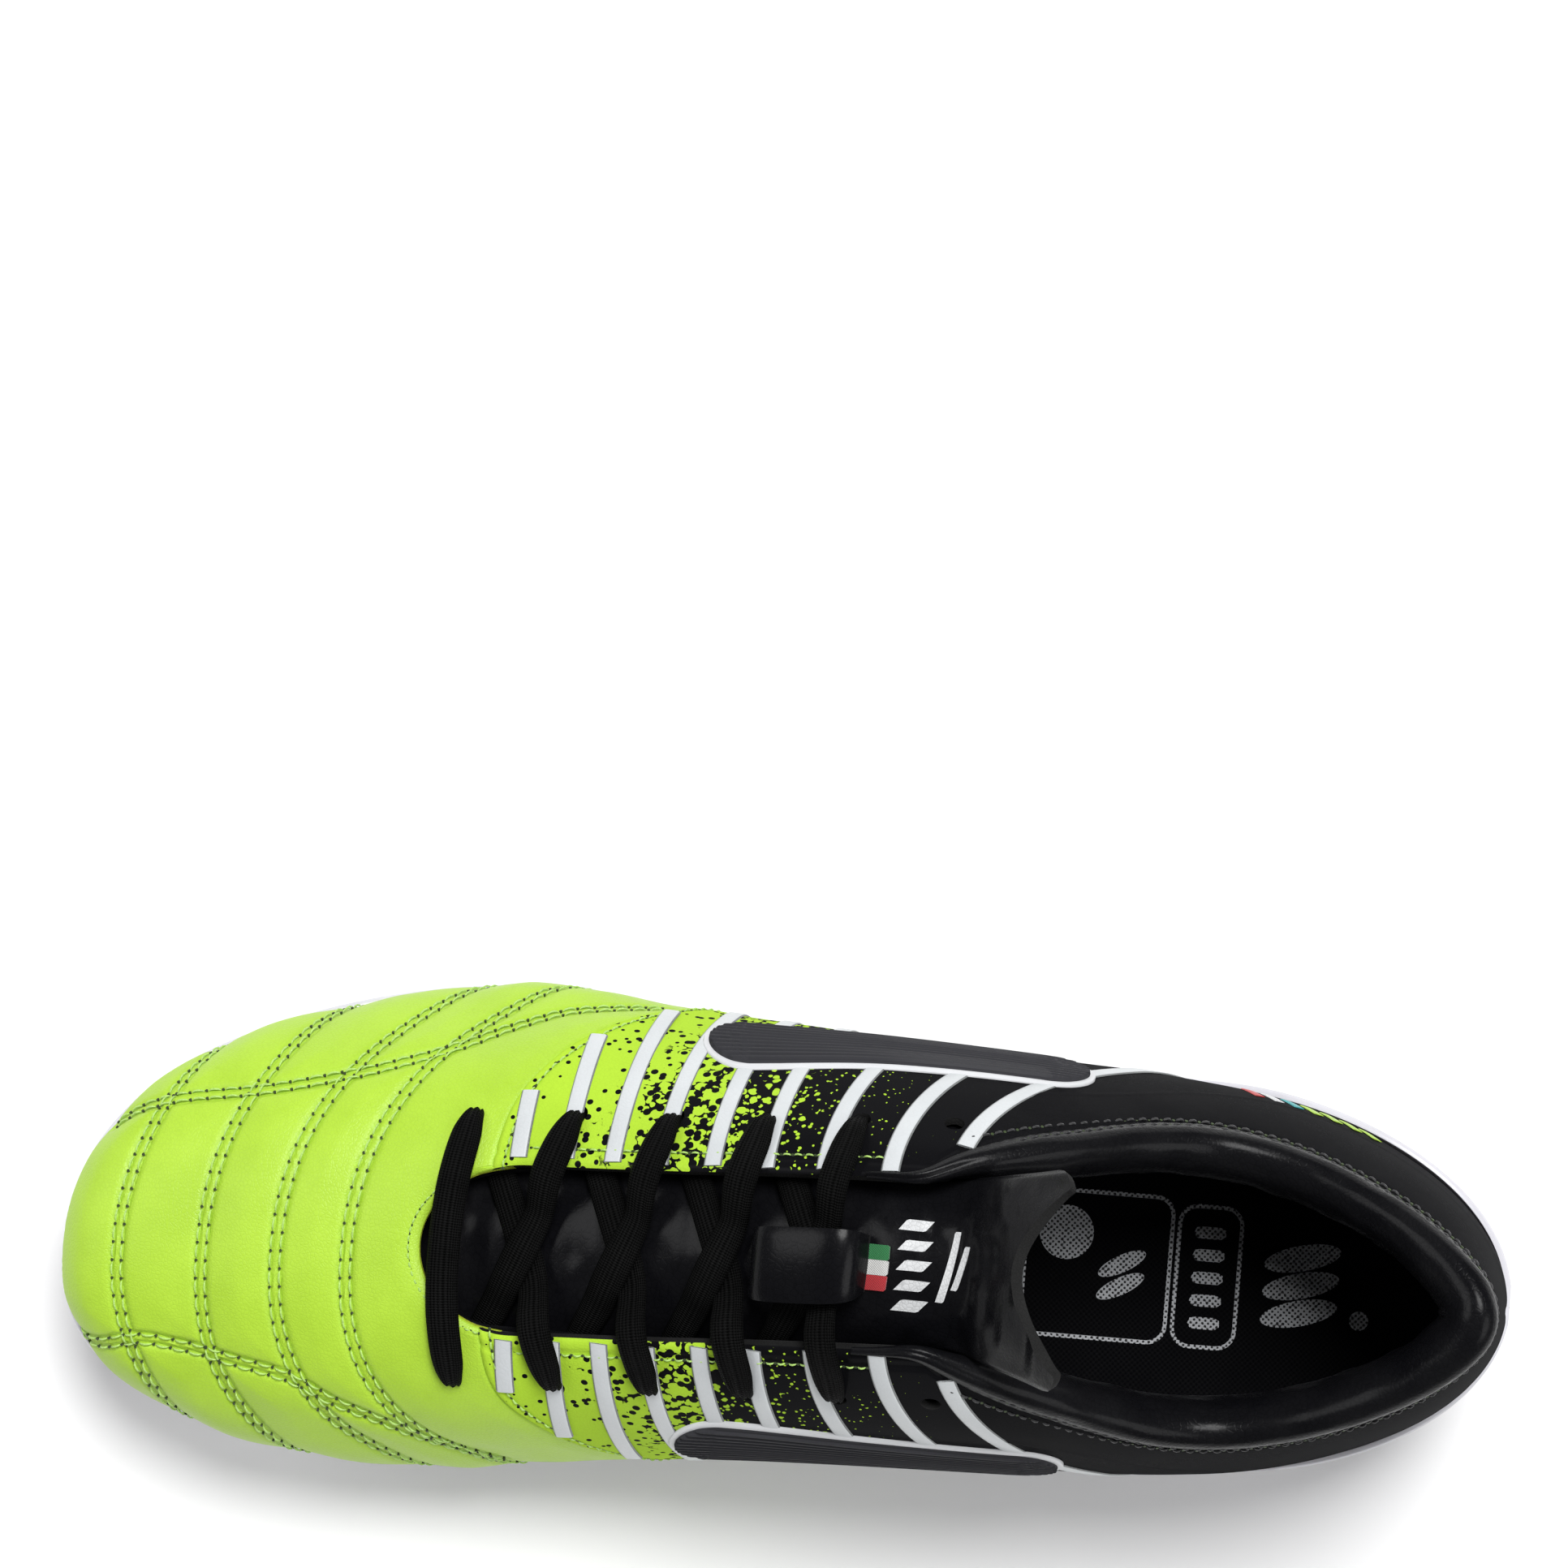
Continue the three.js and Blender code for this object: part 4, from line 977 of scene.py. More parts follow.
def throat_corner(side):
    """Where the topline meets the throat's edge, as (s, t)."""
    s = np.linspace(108, 126, 400)
    t = throat_edge_t(s, side)
    k = np.argmin(abs(last_point(s, t)[..., 2] - topline_at(s)))
    return s[k], t[k]


def quarter_grid(side):
    """One quarter's grid of (s, t), between its seams, the sole, and the topline and throat."""
    heel_s, heel_t = topline_corner(side)
    rear_s, rear_t = throat_corner(side)
    front_t = corner_t(side)
    left = seam_path(heel_seam_at, side, heel_t, QUARTER_ROWS)
    right = seam_path(vamp_seam_at, side, front_t, QUARTER_ROWS)
    foot = np.linspace(left[0, 0], right[0, 0], QUARTER_COLUMNS)
    bottom = np.stack([foot, np.full(QUARTER_COLUMNS, float(side))], -1)
    brow_s = np.linspace(heel_s, rear_s, BROW_COLUMNS, endpoint=False)
    ends_z = [last_point(heel_s, heel_t)[2], last_point(rear_s, rear_t)[2]]
    brow_t = t_at_height(brow_s, np.interp(brow_s, [heel_s, rear_s], ends_z), side)
    edge_s = np.linspace(rear_s, right[-1, 0], QUARTER_COLUMNS - BROW_COLUMNS)
    edge_t = throat_edge_t(edge_s, side)
    edge_t[-1] = front_t
    top = np.stack([np.concatenate([brow_s, edge_s]), np.concatenate([brow_t, edge_t])], -1)
    return coons(bottom, top, left, right)


def eyelet_t(x, side):
    """The t of an eyelet at station x."""
    return t_across(x, throat_centre_at(x) + side * EYELET_SPREAD)


def punch(grid_points, centre, normal, radius):
    """Moves the grid's nearest points onto a round hole's edge, and says which faces are inside it."""
    offset = grid_points - centre
    flat = offset - (offset @ normal)[..., None] * normal
    distance = np.linalg.norm(flat, axis=-1)
    near = np.linalg.norm(offset, axis=-1) < 3 * radius
    inside = near & (distance < radius)
    face_inside = inside[:-1, :-1] & inside[1:, :-1] & inside[:-1, 1:] & inside[1:, 1:]
    touched = np.zeros(inside.shape, bool)
    for rows in (slice(0, -1), slice(1, None)):
        for columns in (slice(0, -1), slice(1, None)):
            touched[rows, columns] |= ~face_inside
    rim = inside & touched
    grid_points[rim] += flat[rim] * ((radius / np.maximum(distance[rim], 1e-6)) - 1)[:, None]
    return ~face_inside


def punch_eyelets(surfaces, side, radius):
    """Cuts one side's eyelets behind the front one into both surfaces, and says which faces are left."""
    kept = True
    for x in EYELET_ROWS[1:]:
        t = eyelet_t(x, side)
        for surface in surfaces:
            kept = kept & punch(surface, last_point(x, t), last_normal(x, t), radius)
    return kept


def build_quarter(name, side):
    """The printed leather on one side, with its eyelets and stitches."""
    grid = quarter_grid(side)
    s, t = grid[..., 0], grid[..., 1]
    base = last_point(s, t)
    normals = last_normal(s, t)
    to_front = np.linalg.norm(base - base[:, -1:], axis=-1)
    to_top = np.linalg.norm(base - base[-1:, :], axis=-1)
    lift = QUARTER_LIFT * smooth(14, 0, to_front)
    lift -= 0.7 * np.exp(-to_front / 0.5) + 0.6 * np.exp(-to_top / 0.6)
    lift -= 0.3 * bump(to_top - 3.2, 0.8) + 0.25 * bump(to_front - 2.4, 0.7)
    lift += 0.15 * noise(s, base[..., 2], 15, 5 + side)
    outer = base + normals * lift[..., None]
    inner = base + normals * (np.minimum(lift, 0.1) - LEATHER)[..., None]
    kept = punch_eyelets((outer, inner), side, EYELET_RADIUS * 0.8)
    made = shell(name, outer, inner, arc_uv(s, base), [PRINTED_LEATHER, DARK_EDGE], kept, flip=side > 0)
    bends(made, "printed_leather", name)
    along_s = np.linspace(127, 196, 120)
    rows = [
        surface_row(s[:, -1] - SEAM_INSET, t[:, -1], QUARTER_LIFT - 0.2),
        surface_row(along_s, throat_edge_t(along_s, side, 3.2), 0.02),
    ]
    sew(f"{name}_seams", rows, bends, "printed_leather", NEON_THREAD, pitch=2.3, radius=0.2)


# Stripes down the sides, as (station at the throat's edge, station low on the side).
STRIPES = (
    (196, 190), (187, 180), (178, 169), (169, 158), (159, 147), (149, 136), (138, 120), (126, 101), (114, 79),
)
STRIPE_WIDTH = 3.3
STRIPE_TOP_T = 0.215
STRIPE_LOW_T = 0.82


# Each stripe's two films, as (name, width, height, material); the grey edge film is painted shade.
STRIPE_FILMS = (("edge", STRIPE_WIDTH + 0.35, 0.2, STRIPE_EDGE_SHADE), ("film", STRIPE_WIDTH, 0.3, STRIPE_INK))


def build_stripes(side_name):
    """The film stripes down one side."""
    side = SIDES[side_name]
    for number, (top, low) in enumerate(STRIPES):
        t = side * np.linspace(STRIPE_TOP_T, 0.995, 110)
        share = (abs(t) - STRIPE_TOP_T) / (STRIPE_LOW_T - STRIPE_TOP_T)
        s = top + (low - top) * share ** (1.15 + 0.01 * number**2)
        s = s + 0.6 * np.sin(np.clip(share, 0, 1) * math.pi)
        start = throat_edge_t(s, side, 0.5)
        clear = (abs(t) > abs(start)) & (s < seam_station(vamp_seam_at, t) - 2.2)
        clear &= last_point(s, t)[..., 2] < topline_at(s) - 1.5
        if clear.sum() < 6:
            continue
        s, t = s[clear], t[clear]
        to_seam = seam_station(vamp_seam_at, t) - s
        lift = QUARTER_LIFT * smooth(14, 0, to_seam)
        for kind, width, height, material in STRIPE_FILMS:
            name = f"stripe_{side_name}_{number + 1}_{kind}"
            bends(strip_on(name, s, t, width, lift + 0.08, height, material), "printed_leather")


# ---- Heel panel and collar -----------------------------------------------------------------------


def round_back(share):
    """How far forward of the heel's end a path round the back is, as a share, for share from -1 to 1."""
    u = abs(share)
    return np.where(u < 1, (1 - np.cos(u * math.pi / 2)) * 0.45 + 0.55 * u**1.6, 1)


HEEL_ROWS = 90
HEEL_STITCH_ROW = 85
HEEL_COLUMNS = 260


def heel_grid(rows, columns):
    """The back of the upper: s and t from the bite line to the topline, seam to seam round the back."""
    share = np.linspace(-1, 1, columns)[None]
    level = np.linspace(0, 1, rows)[:, None]
    side = np.where(share < 0, -1.0, 1.0)
    s = np.full((rows, columns), 60.0)
    z = np.full((rows, columns), 60.0)
    for _ in range(80):
        s = 0.5 * s + 0.5 * (HEEL_END + 0.002 + (heel_seam_at(z) - HEEL_END) * round_back(share))
        back = np.maximum(0, 1 - (s - HEEL_END) / HEEL_ROUND)
        x = s + lean_at(z) * back**2
        top = topline_at(x)
        z = 0.5 * z + 0.5 * (bite_at(s) + level * (top - bite_at(s)))
    return s, t_at_height(s, z, side)


def wall_normals(base):
    """The outward normals of a wall round the heel, whose middle faces back."""
    normals = grid_normals(base)
    rows, columns = base.shape[:2]
    return -normals if normals[rows // 2, columns // 2, 0] > 0 else normals


def build_heel_panel():
    """The black leather round the heel."""
    s, t = heel_grid(HEEL_ROWS, HEEL_COLUMNS)
    base = last_point(s, t)
    normals = wall_normals(base)
    to_top = np.linalg.norm(base - base[-1:, :], axis=-1)
    lift = -0.5 * np.exp(-to_top / 0.7) - 0.3 * bump(to_top - 2.6, 0.8)
    counter = smooth(1.5, 0, abs(to_top - 28))
    lift += 0.15 * noise(s, base[..., 2], 17, 11) + 0.12 * counter
    back_seam = bump(base[..., 1], 1.1) * (base[..., 0] < 40)
    lift -= 0.35 * back_seam
    outer = base + normals * lift[..., None]
    inner = base - normals * LEATHER
    made = shell("heel_panel_leather", outer, inner, arc_uv(s, base), [HEEL_LEATHER, DARK_EDGE])
    stays(made, "black_leather", "heel_panel")
    rows = [(base[HEEL_STITCH_ROW], normals[HEEL_STITCH_ROW])]
    sew("heel_panel_seams", rows, stays, "black_leather", BLACK_THREAD, pitch=2.6, radius=0.26)


# The collar's padded roll, as (offset from the last, height above the topline) round its section.
COLLAR_SECTION = [
    (0.1, -2.2), (0.6, 0.2), (0.75, 2.2), (0.0, 4.2), (-1.9, 5.7), (-4.6, 6.0), (-7.4, 4.8), (-9.4, 2.0),
    (-10.5, -2.0), (-10.9, -7.5), (-10.4, -13.5), (-8.9, -19.0), (-6.6, -23.0), (-4.4, -25.0), (-3.4, -22.0),
    (-2.9, -12.0), (-2.2, -5.0),
]
COLLAR_TAPER = 44.0  # the length over which each end of the roll thins to a binding
COLLAR_THIN = 0.10
COLLAR_END = 131.0  # the station at which the binding ends on the throat's edge
FOAM_SHARE = 0.78  # the foam's section as a share of the roll's


def closed_spline(points, steps):
    """A smooth closed curve through the points, with this many steps from each to the next."""
    points = np.array(points, float)
    before = np.roll(points, 1, axis=0)
    after = np.roll(points, -1, axis=0)
    later = np.roll(points, -2, axis=0)
    u = (np.arange(steps) / steps)[None, :, None]
    p0, p1, p2, p3 = (p[:, None] for p in (before, points, after, later))
    squared = (2 * p0 - 5 * p1 + 4 * p2 - p3) * u**2
    cubed = (3 * p1 - p0 - 3 * p2 + p3) * u**3
    return (0.5 * (2 * p1 + (p2 - p0) * u + squared + cubed)).reshape(-1, 2)


def blurred(values, reach):
    """Points along a path, each averaged with its neighbours. The ends stay."""
    kernel = np.hanning(2 * reach + 3)[1:-1]
    kernel /= kernel.sum()
    padded = np.concatenate([np.repeat(values[:1], reach, 0), values, np.repeat(values[-1:], reach, 0)])
    return np.stack([np.convolve(column, kernel, mode="valid") for column in padded.T], -1)


def collar_path():
    """The collar's edge from the throat round the heel to the throat, with normals and upward directions."""
    s, t = heel_grid(2, 240)
    back = last_point(s, t)[-1]
    sides = {}
    for side in (-1, 1):
        rear_s, _ = throat_corner(side)
        throat_s = np.linspace(COLLAR_END, rear_s + 1, 24)
        sides[side] = last_point(throat_s, throat_edge_t(throat_s, side, 0.3))
    path = np.concatenate([sides[-1], back, sides[1][::-1]])
    path = resample(blurred(resample(path, 1.0), 5), 1.0)
    along = tangents(path)
    x, y, z = path.T
    side = np.where(y < centre_at(x), -1.0, 1.0)
    upright = x - lean_at(z) * np.maximum(0, 1 - (x - 8) / HEEL_ROUND) ** 2
    station = np.clip(upright, HEEL_END + 1.5, 280)
    normals = blurred(last_normal(station, t_at_height(station, z, side)), 7)
    normals -= along * (normals * along).sum(axis=1, keepdims=True)
    normals = unit(normals)
    return path, normals, np.cross(along, normals)


def collar_tube(name, share, material, wrinkle):
    """The roll round the collar, or its foam core, whose section is a smaller share of the roll's."""
    path, normals, up = collar_path()
    length = run_length(path)
    to_end = np.minimum(length, length[-1] - length)
    full = COLLAR_THIN + (1 - COLLAR_THIN) * smooth(0, COLLAR_TAPER, to_end)
    up = unit(up * (1 - 0.45 * full[:, None]) + np.array([0, 0, 0.45]) * full[:, None])
    section = closed_spline(COLLAR_SECTION, 6)
    section = section.mean(axis=0) + (section - section.mean(axis=0)) * share
    sides = len(section)
    depth, height = section[None, :, 0], section[None, :, 1]
    offset = np.where(depth < 0, depth * full[:, None], depth)
    height = height * full[:, None] ** 0.8
    points = path[:, None] + normals[:, None] * offset[..., None] + up[:, None] * height[..., None]
    ring = np.arange(sides) / sides
    crease = noise(length[:, None] + 6 * np.sin(ring * 7)[None], ring[None] * 90, 5.5, 21)
    fine = noise(length[:, None], ring[None] * 140, 2.6, 22)
    inside = smooth(0.3, 0.5, ring) * smooth(0.86, 0.7, ring)
    around = np.roll(points, -1, axis=1) - np.roll(points, 1, axis=1)
    out = unit(np.cross(np.gradient(points, axis=0), around))
    if ((points - points.mean(axis=1, keepdims=True)) * out).sum() < 0:
        out = -out
    swell = (0.26 * crease + 0.08 * fine) * (0.35 + inside[None]) * full[:, None] * wrinkle
    points = points + out * swell[..., None]
    faces = grid_faces(len(path), sides, close_columns=True).tolist()
    faces += [list(range(sides))[::-1], [(len(path) - 1) * sides + k for k in range(sides)]]
    uv = np.stack(np.broadcast_arrays(length[:, None], ring[None] * 62), -1)
    made = make(name, points.reshape(-1, 3), faces, uv.reshape(-1, 2), material, sharp=60)
    face_out(made)
    return made


def build_collar():
    """The padded roll, its foam and its seam."""
    roll = collar_tube("collar_roll", 1.0, COLLAR_LEATHER, 1.0)
    stays(roll, "black_leather", "collar_cover")
    foam = collar_tube("collar_foam_core", FOAM_SHARE, FOAM, 0.3)
    stays(foam, "collar_foam", "collar_foam")
    path, normals, up = collar_path()
    seam = path + normals * 0.6 + up * 0.4
    rows = [(seam[30:-30], normals[30:-30])]
    sew("collar_seam", rows, stays, "black_leather", BLACK_THREAD, pitch=2.4, radius=0.24)


# ---- Lining, insole and board --------------------------------------------------------------------

LINING_OUTER = -3.2
LINING_INNER = -4.2
INSOLE_TOP = 5.4  # over the bite line, as are the other levels here
INSOLE_BOTTOM = 1.95
BOARD_TOP = 1.6
BOARD_BOTTOM = 0.2


def ring_grid(front, rows, columns, top_t):
    """The inside wall from front on the lateral side round the heel to front on the medial side."""
    share = np.linspace(-1, 1, columns)[None]
    side = np.where(share < 0, -1.0, 1.0)
    s = HEEL_END + 0.002 + (front - HEEL_END) * round_back(share)
    top = top_t(s, side)
    t = side * (1 + (abs(top) - 1) * np.linspace(0, 1, rows)[:, None])
    return np.broadcast_to(s, t.shape), t


def lining_top(s, side):
    """The t at the lining's upper edge: under the collar at the back, and by the throat's edge in front."""
    low = t_at_height(s, topline_at(s + 3) - 15, side)
    throat = throat_edge_t(s, side, 1.6)
    forward = smooth(96, 118, s)
    return low * (1 - forward) + throat * forward


def build_lining():
    """The lining round the heel, and the lining over the toes."""
    front = FLEX_BLEND[0] - 2
    s, t = ring_grid(front, 44, 200, lining_top)
    base = last_point(s, t)
    normals = wall_normals(base)
    outer = base + normals * LINING_OUTER
    inner = base + normals * LINING_INNER
    rear = shell("lining_wall", outer, inner, arc_uv(s, base), [LINING_CLOTH, LINING_CLOTH])
    stays(rear, "lining_textile", "lining_rear")
    t = np.linspace(-1, 1, 90)
    start = np.maximum(front, throat_front_station(t) + 1.6)
    s = spread_columns(50, start, TOE_TIP, t)
    tt = np.broadcast_to(t, s.shape)
    base = last_point(s, tt)
    normals = last_normal(s, tt)
    slope = np.minimum(1, (TOE_END - s) / 4)
    outer = base + normals * (LINING_OUTER * slope - 0.2)[..., None]
    inner = outer - normals * 0.9
    toe = shell("lining_front", outer, inner, arc_uv(s, base), [LINING_CLOTH, LINING_CLOTH])
    bends(toe, "lining_textile", "lining_flex_panel", "lining_toe")


def plan_grid(low, high, rows, columns, inset):
    """Stations from low to high over the sole's plan, with y and with the share v from -1 to 1 across."""
    u = np.linspace(0, math.pi, rows)
    s = low + (high - low) * (1 - np.cos(u)) / 2
    v = np.linspace(-1, 1, columns)
    inner_s = HEEL_END + (s - low) / (high - low) * (TOE_END - HEEL_END)
    half = half_width_at(np.clip(inner_s, HEEL_END + 0.01, TOE_TIP))
    tuck = np.where(v[None] < 0, lateral_tuck_at(s)[:, None], medial_tuck_at(s)[:, None])
    narrow = np.maximum(half[:, None] * tuck - inset, 0.02)
    y = centre_at(s)[:, None] + v[None] * narrow
    return np.broadcast_to(s[:, None], y.shape), y, np.broadcast_to(v[None], y.shape)


def insole_height(s, y):
    """The height of the insole's top: dished at the heel and raised under the arch."""
    half = half_width_at(np.clip(s, HEEL_END + 1, TOE_TIP))
    v = (y - centre_at(s)) / np.maximum(half, 1)
    dish = 2.4 * smooth(0.5, 1.0, abs(v)) * smooth(140, 40, s)
    arch = 2.6 * smooth(0.25, 1.0, v) * bump(s - 118, 38)
    return bite_at(s) + INSOLE_TOP + dish + arch


def build_insole():
    """The insole and the board under it."""
    s, y, v = plan_grid(8.5, 277, 150, 70, 5.4)
    top = np.stack([s, y, insole_height(s, y) - 0.9 * smooth(0.93, 1, abs(v)) ** 2], -1)
    bottom = np.stack([s, y, bite_at(s) + INSOLE_BOTTOM], -1)
    made = shell("insole_sheet", top, bottom, np.stack([s, y], -1), [INSOLE_CLOTH, INSOLE_CLOTH])
    bends(made, "insole_textile", "insole_rear", "insole_forefoot")
    s, y, _ = plan_grid(7.8, 277.5, 90, 30, 5.2)
    top = np.stack([s, y, bite_at(s) + BOARD_TOP], -1)
    bottom = np.stack([s, y, bite_at(s) + BOARD_BOTTOM], -1)
    made = shell("insole_board_sheet", top, bottom, np.stack([s, y], -1), [BOARD, BOARD])
    bends(made, "stiffener_board", "insole_board_rear", "insole_board_forefoot")


def printed_ribbon(name, path, width):
    """A thin raised line of print on the insole along a closed plan path."""
    z = insole_height(path[:, 0], path[:, 1]) + 0.05
    centre = np.column_stack([path, z])
    up = np.tile([0.0, 0.0, 1.0], (len(centre), 1))
    across = unit(np.cross(up, tangents(centre, True)))
    section = np.array([(1, -1), (0.8, 1), (-0.8, 1), (-1, -1)])
    made = tube(name, centre, across * width / 2, up * 0.09, INSOLE_PRINT, closed=True, section=section)
    stays(made, "insole_textile")


def rounded_box(centre, size, radius, pitch=1.2):
    """The outline of a rectangle with rounded corners."""
    half = np.array(size) / 2 - radius
    corner = []
    for k, (sx, sy) in enumerate(((1, 1), (-1, 1), (-1, -1), (1, -1))):
        angle = np.linspace(k * math.pi / 2, (k + 1) * math.pi / 2, 9)
        turn = np.stack([np.cos(angle), np.sin(angle)], -1) * radius
        corner.append(np.array(centre) + half * (sx, sy) + turn)
    outline = np.concatenate(corner)
    return resample(np.concatenate([outline, outline[:1]]), pitch)[:-1]


def printed_patch(name, outline):
    """A filled patch of print on the insole, from a plan outline that its centre can see all of."""
    centre = outline.mean(axis=0)
    rings = [centre + (outline - centre) * k for k in (1.0, 0.75, 0.5, 0.25)]
    count = len(outline)
    flat = np.concatenate(rings + [centre[None]])
    z = insole_height(flat[:, 0], flat[:, 1])
    top = np.column_stack([flat, z + 0.12])
    bottom = np.column_stack([flat, z - 0.05])
    faces = grid_faces(4, count, close_columns=True)
    middle = [[3 * count + k, 3 * count + (k + 1) % count, 4 * count] for k in range(count)]
    surface = faces.tolist() + middle
    total = len(flat)
    under = [[k + total for k in face[::-1]] for face in surface]
    rim = [[k, k + total, (k + 1) % count + total, (k + 1) % count] for k in range(count)]
    points = np.concatenate([top, bottom])
    made = make(name, points, surface + under + rim, np.concatenate([flat, flat]), INSOLE_PRINT)
    stays(made, "insole_textile")


# The insole's plain generic print: lenses as (x, y, lean, size), and blocks by their y.
INSOLE_LENSES = (
    (76.5, 3.5, 0.5, 1.0), (76.5, -1.0, 0.5, 1.0), (40.5, 6.0, 0.25, 1.5), (40.5, 0.5, 0.25, 1.5),
    (40.5, -5.0, 0.25, 1.5),
)
INSOLE_BLOCKS = (-8.5, -4.0, 0.5, 5.0, 9.5)


def build_insole_print():
    """Frames, discs, lenses and blocks printed on the insole."""
    printed_ribbon("insole_frame_large", rounded_box((81.5, -0.3), (29, 29), 3.5), 0.9)
    printed_ribbon("insole_frame_small", rounded_box((59.3, 0.3), (12.5, 28), 3.5), 0.9)
    turn = np.linspace(0, 2 * math.pi, 40, endpoint=False)
    circle = np.stack([np.cos(turn), np.sin(turn)], -1)
    printed_patch("insole_disc", np.array((88.0, -6.4)) + circle * 5.4)
    printed_patch("insole_dot", np.array((28.4, 6.5)) + circle * 1.9)
    lens = np.stack([5.2 * np.cos(turn), 1.7 * np.sin(turn)], -1)
    for number, (x, y, lean, size) in enumerate(INSOLE_LENSES):
        spin = np.array([[math.cos(lean), math.sin(lean)], [-math.sin(lean), math.cos(lean)]])
        printed_patch(f"insole_bar_{number + 1}", np.array((x, y)) + lens * size @ spin)
    for number, y in enumerate(INSOLE_BLOCKS):
        printed_patch(f"insole_block_{number + 1}", rounded_box((59.3, y), (6.5, 2.4), 1.1))


EYESTAY_ROWS = 90
EYESTAY_COLUMNS = 22
EYESTAY_OUTER = 1.85  # how deep the tape's two faces lie under the last's surface
EYESTAY_INNER = 2.95


def build_eyestays():
    """The tapes that back the eyelets."""
    for name, side in SIDES.items():
        s = np.linspace(119, 203, EYESTAY_ROWS)[:, None]
        near = abs(throat_edge_t(s[:, 0], side, 0.5))
        far = abs(throat_edge_t(s[:, 0], side, 14.5))
        t = side * (near[:, None] + (far - near)[:, None] * np.linspace(0, 1, EYESTAY_COLUMNS)[None])
        s = np.broadcast_to(s, t.shape)
        base = last_point(s, t)
        normals = last_normal(s, t)
        outer = base - normals * EYESTAY_OUTER
        inner = base - normals * EYESTAY_INNER
        kept = punch_eyelets((outer, inner), side, EYELET_RADIUS)
        uv = np.stack([s, t * 60], -1)
        made = shell(f"eyestay_tape_{name}", outer, inner, uv, [TAPE, TAPE], kept, flip=side < 0)
        bends(made, "reinforcement_tape", f"eyestay_reinforcement_{name}")


# ---- Sole plate and studs ------------------------------------------------------------------------

SOLE_COLUMNS = 340
SOLE_HUB = (30.0, 252.0)  # where the rings under the sole close in on the heel and the toe
LIP_LEVELS = (1.0, 0.66, 0.33, 0.0)  # rings up the plate's lip, as shares of its height
PLATE_DISH = 0.3  # how far the plate's top lies under the bite line
RIB_PITCH = 9.0
SLIT_Z = (23, 36)  # the dark slit at the back of the heel


def sole_outline():
    """Stations and sides round the sole's edge, from the heel along the medial side and back."""
    half = SOLE_COLUMNS // 2
    u = (np.arange(half) + 0.5) / half
    s = HEEL_END + (TOE_END - HEEL_END) * (0.62 * (1 - np.cos(u * math.pi)) / 2 + 0.38 * u)
    return np.concatenate([s, s[::-1]]), np.concatenate([np.ones(half), -np.ones(half)])


def build_sole():
    """The moulded plate: its lip, its ribbed underside and its top, swept as rings round the sole."""
    s, side = sole_outline()
    down = np.array([0.0, 0.0, -1.0])
    bottom_edge = last_point(s, side)
    out = rounded_normals(bottom_edge)
    wall, facing = [], []
    for level in LIP_LEVELS:
        t = t_at_height(s, bite_at(s) + lip_at(s) * level, side)
        wall.append(last_point(s, t))
        facing.append(unit(0.5 * last_normal(s, t) + 0.5 * out))
    edge = bottom_edge + out * PLATE_FLANGE
    outside = [
        wall[0] + facing[0] * 0.15 + down * 0.8,
        wall[0] + facing[0] * 0.5 - down * 0.25,
        wall[0] + facing[0] * (PLATE_FLANGE - 0.7) - down * 0.25,
        wall[0] + facing[0] * (PLATE_FLANGE - 0.15) + down * 0.35,
        *[point + normal * PLATE_FLANGE for point, normal in zip(wall[1:], facing[1:])],
        edge + down * (PLATE_THICKNESS * 0.55) - out * 0.05,
        edge + down * (PLATE_THICKNESS * 0.86) - out * 0.5,
        edge + down * PLATE_THICKNESS - out * 1.5,
    ]
    inside = [point + normal * 0.12 for point, normal in zip(wall[1:], facing[1:])]
    hub_s = np.clip(s, *SOLE_HUB)
    hub = np.stack([hub_s, centre_at(hub_s), bite_at(hub_s)], -1)

    def ring(rim, share, depth):
        """A ring between the hub line and a rim, at a depth under the bite line."""
        points = hub + (rim - hub) * share
        points[:, 2] = bite_at(np.clip(points[:, 0], 0, 285)) - depth
        return points

    top_rim = bottom_edge + out * 0.1
    upper = [ring(top_rim, share, PLATE_DISH) for share in (0.02, 0.25, 0.5, 0.8)]
    lower = []
    for share in np.linspace(0.97, 0.02, 26):
        points = ring(outside[-1], share, PLATE_THICKNESS)
        x, y, _ = points.T
        within = smooth(0.93, 0.90, share)
        wave = 0.5 + 0.5 * np.cos((x + 0.9 * abs(y)) * 2 * math.pi / RIB_PITCH)
        rib = 0.5 * smooth(0.25, 0.75, wave)
        shank = bump(y - centre_at(x), 7) * smooth(66, 84, x) * smooth(176, 158, x)
        points[:, 2] += (0.9 - rib) * within - 1.6 * shank
        lower.append(points)
    loops = np.stack(upper + [top_rim + down * PLATE_DISH] + inside[::-1] + outside + lower)
    count = SOLE_COLUMNS
    pairs = [(k, k + 1, count - 2 - k, count - 1 - k) for k in range(count // 2 - 1)]
    last = (len(loops) - 1) * count
    faces = grid_faces(len(loops), count, close_columns=True).tolist()
    faces += [list(pair) for pair in pairs] + [[last + k for k in pair[::-1]] for pair in pairs]
    points = loops.reshape(-1, 3)
    made = make("sole_plate", points, faces, points[:, :2], SOLE_PLASTIC, sharp=50)
    bends(made, "outsole_plastic", "outsole_rear", "outsole_forefoot")
    slit = last_point(HEEL_END + 0.01, t_at_height(HEEL_END + 0.01, np.linspace(*SLIT_Z, 16), 1.0))
    slit = slit - np.array([PLATE_FLANGE + 0.02, 0, 0])
    narrow = np.sqrt(np.maximum(0.05, 1 - np.linspace(-1, 1, 16)[:, None] ** 4))
    width = np.array([0.0, 0.75, 0.0]) * narrow
    thick = np.tile([0.25, 0.0, 0.0], (16, 1))
    stays(tube("sole_heel_slit", slit, width, thick, DARK_EDGE, sides=8), "outsole_plastic")


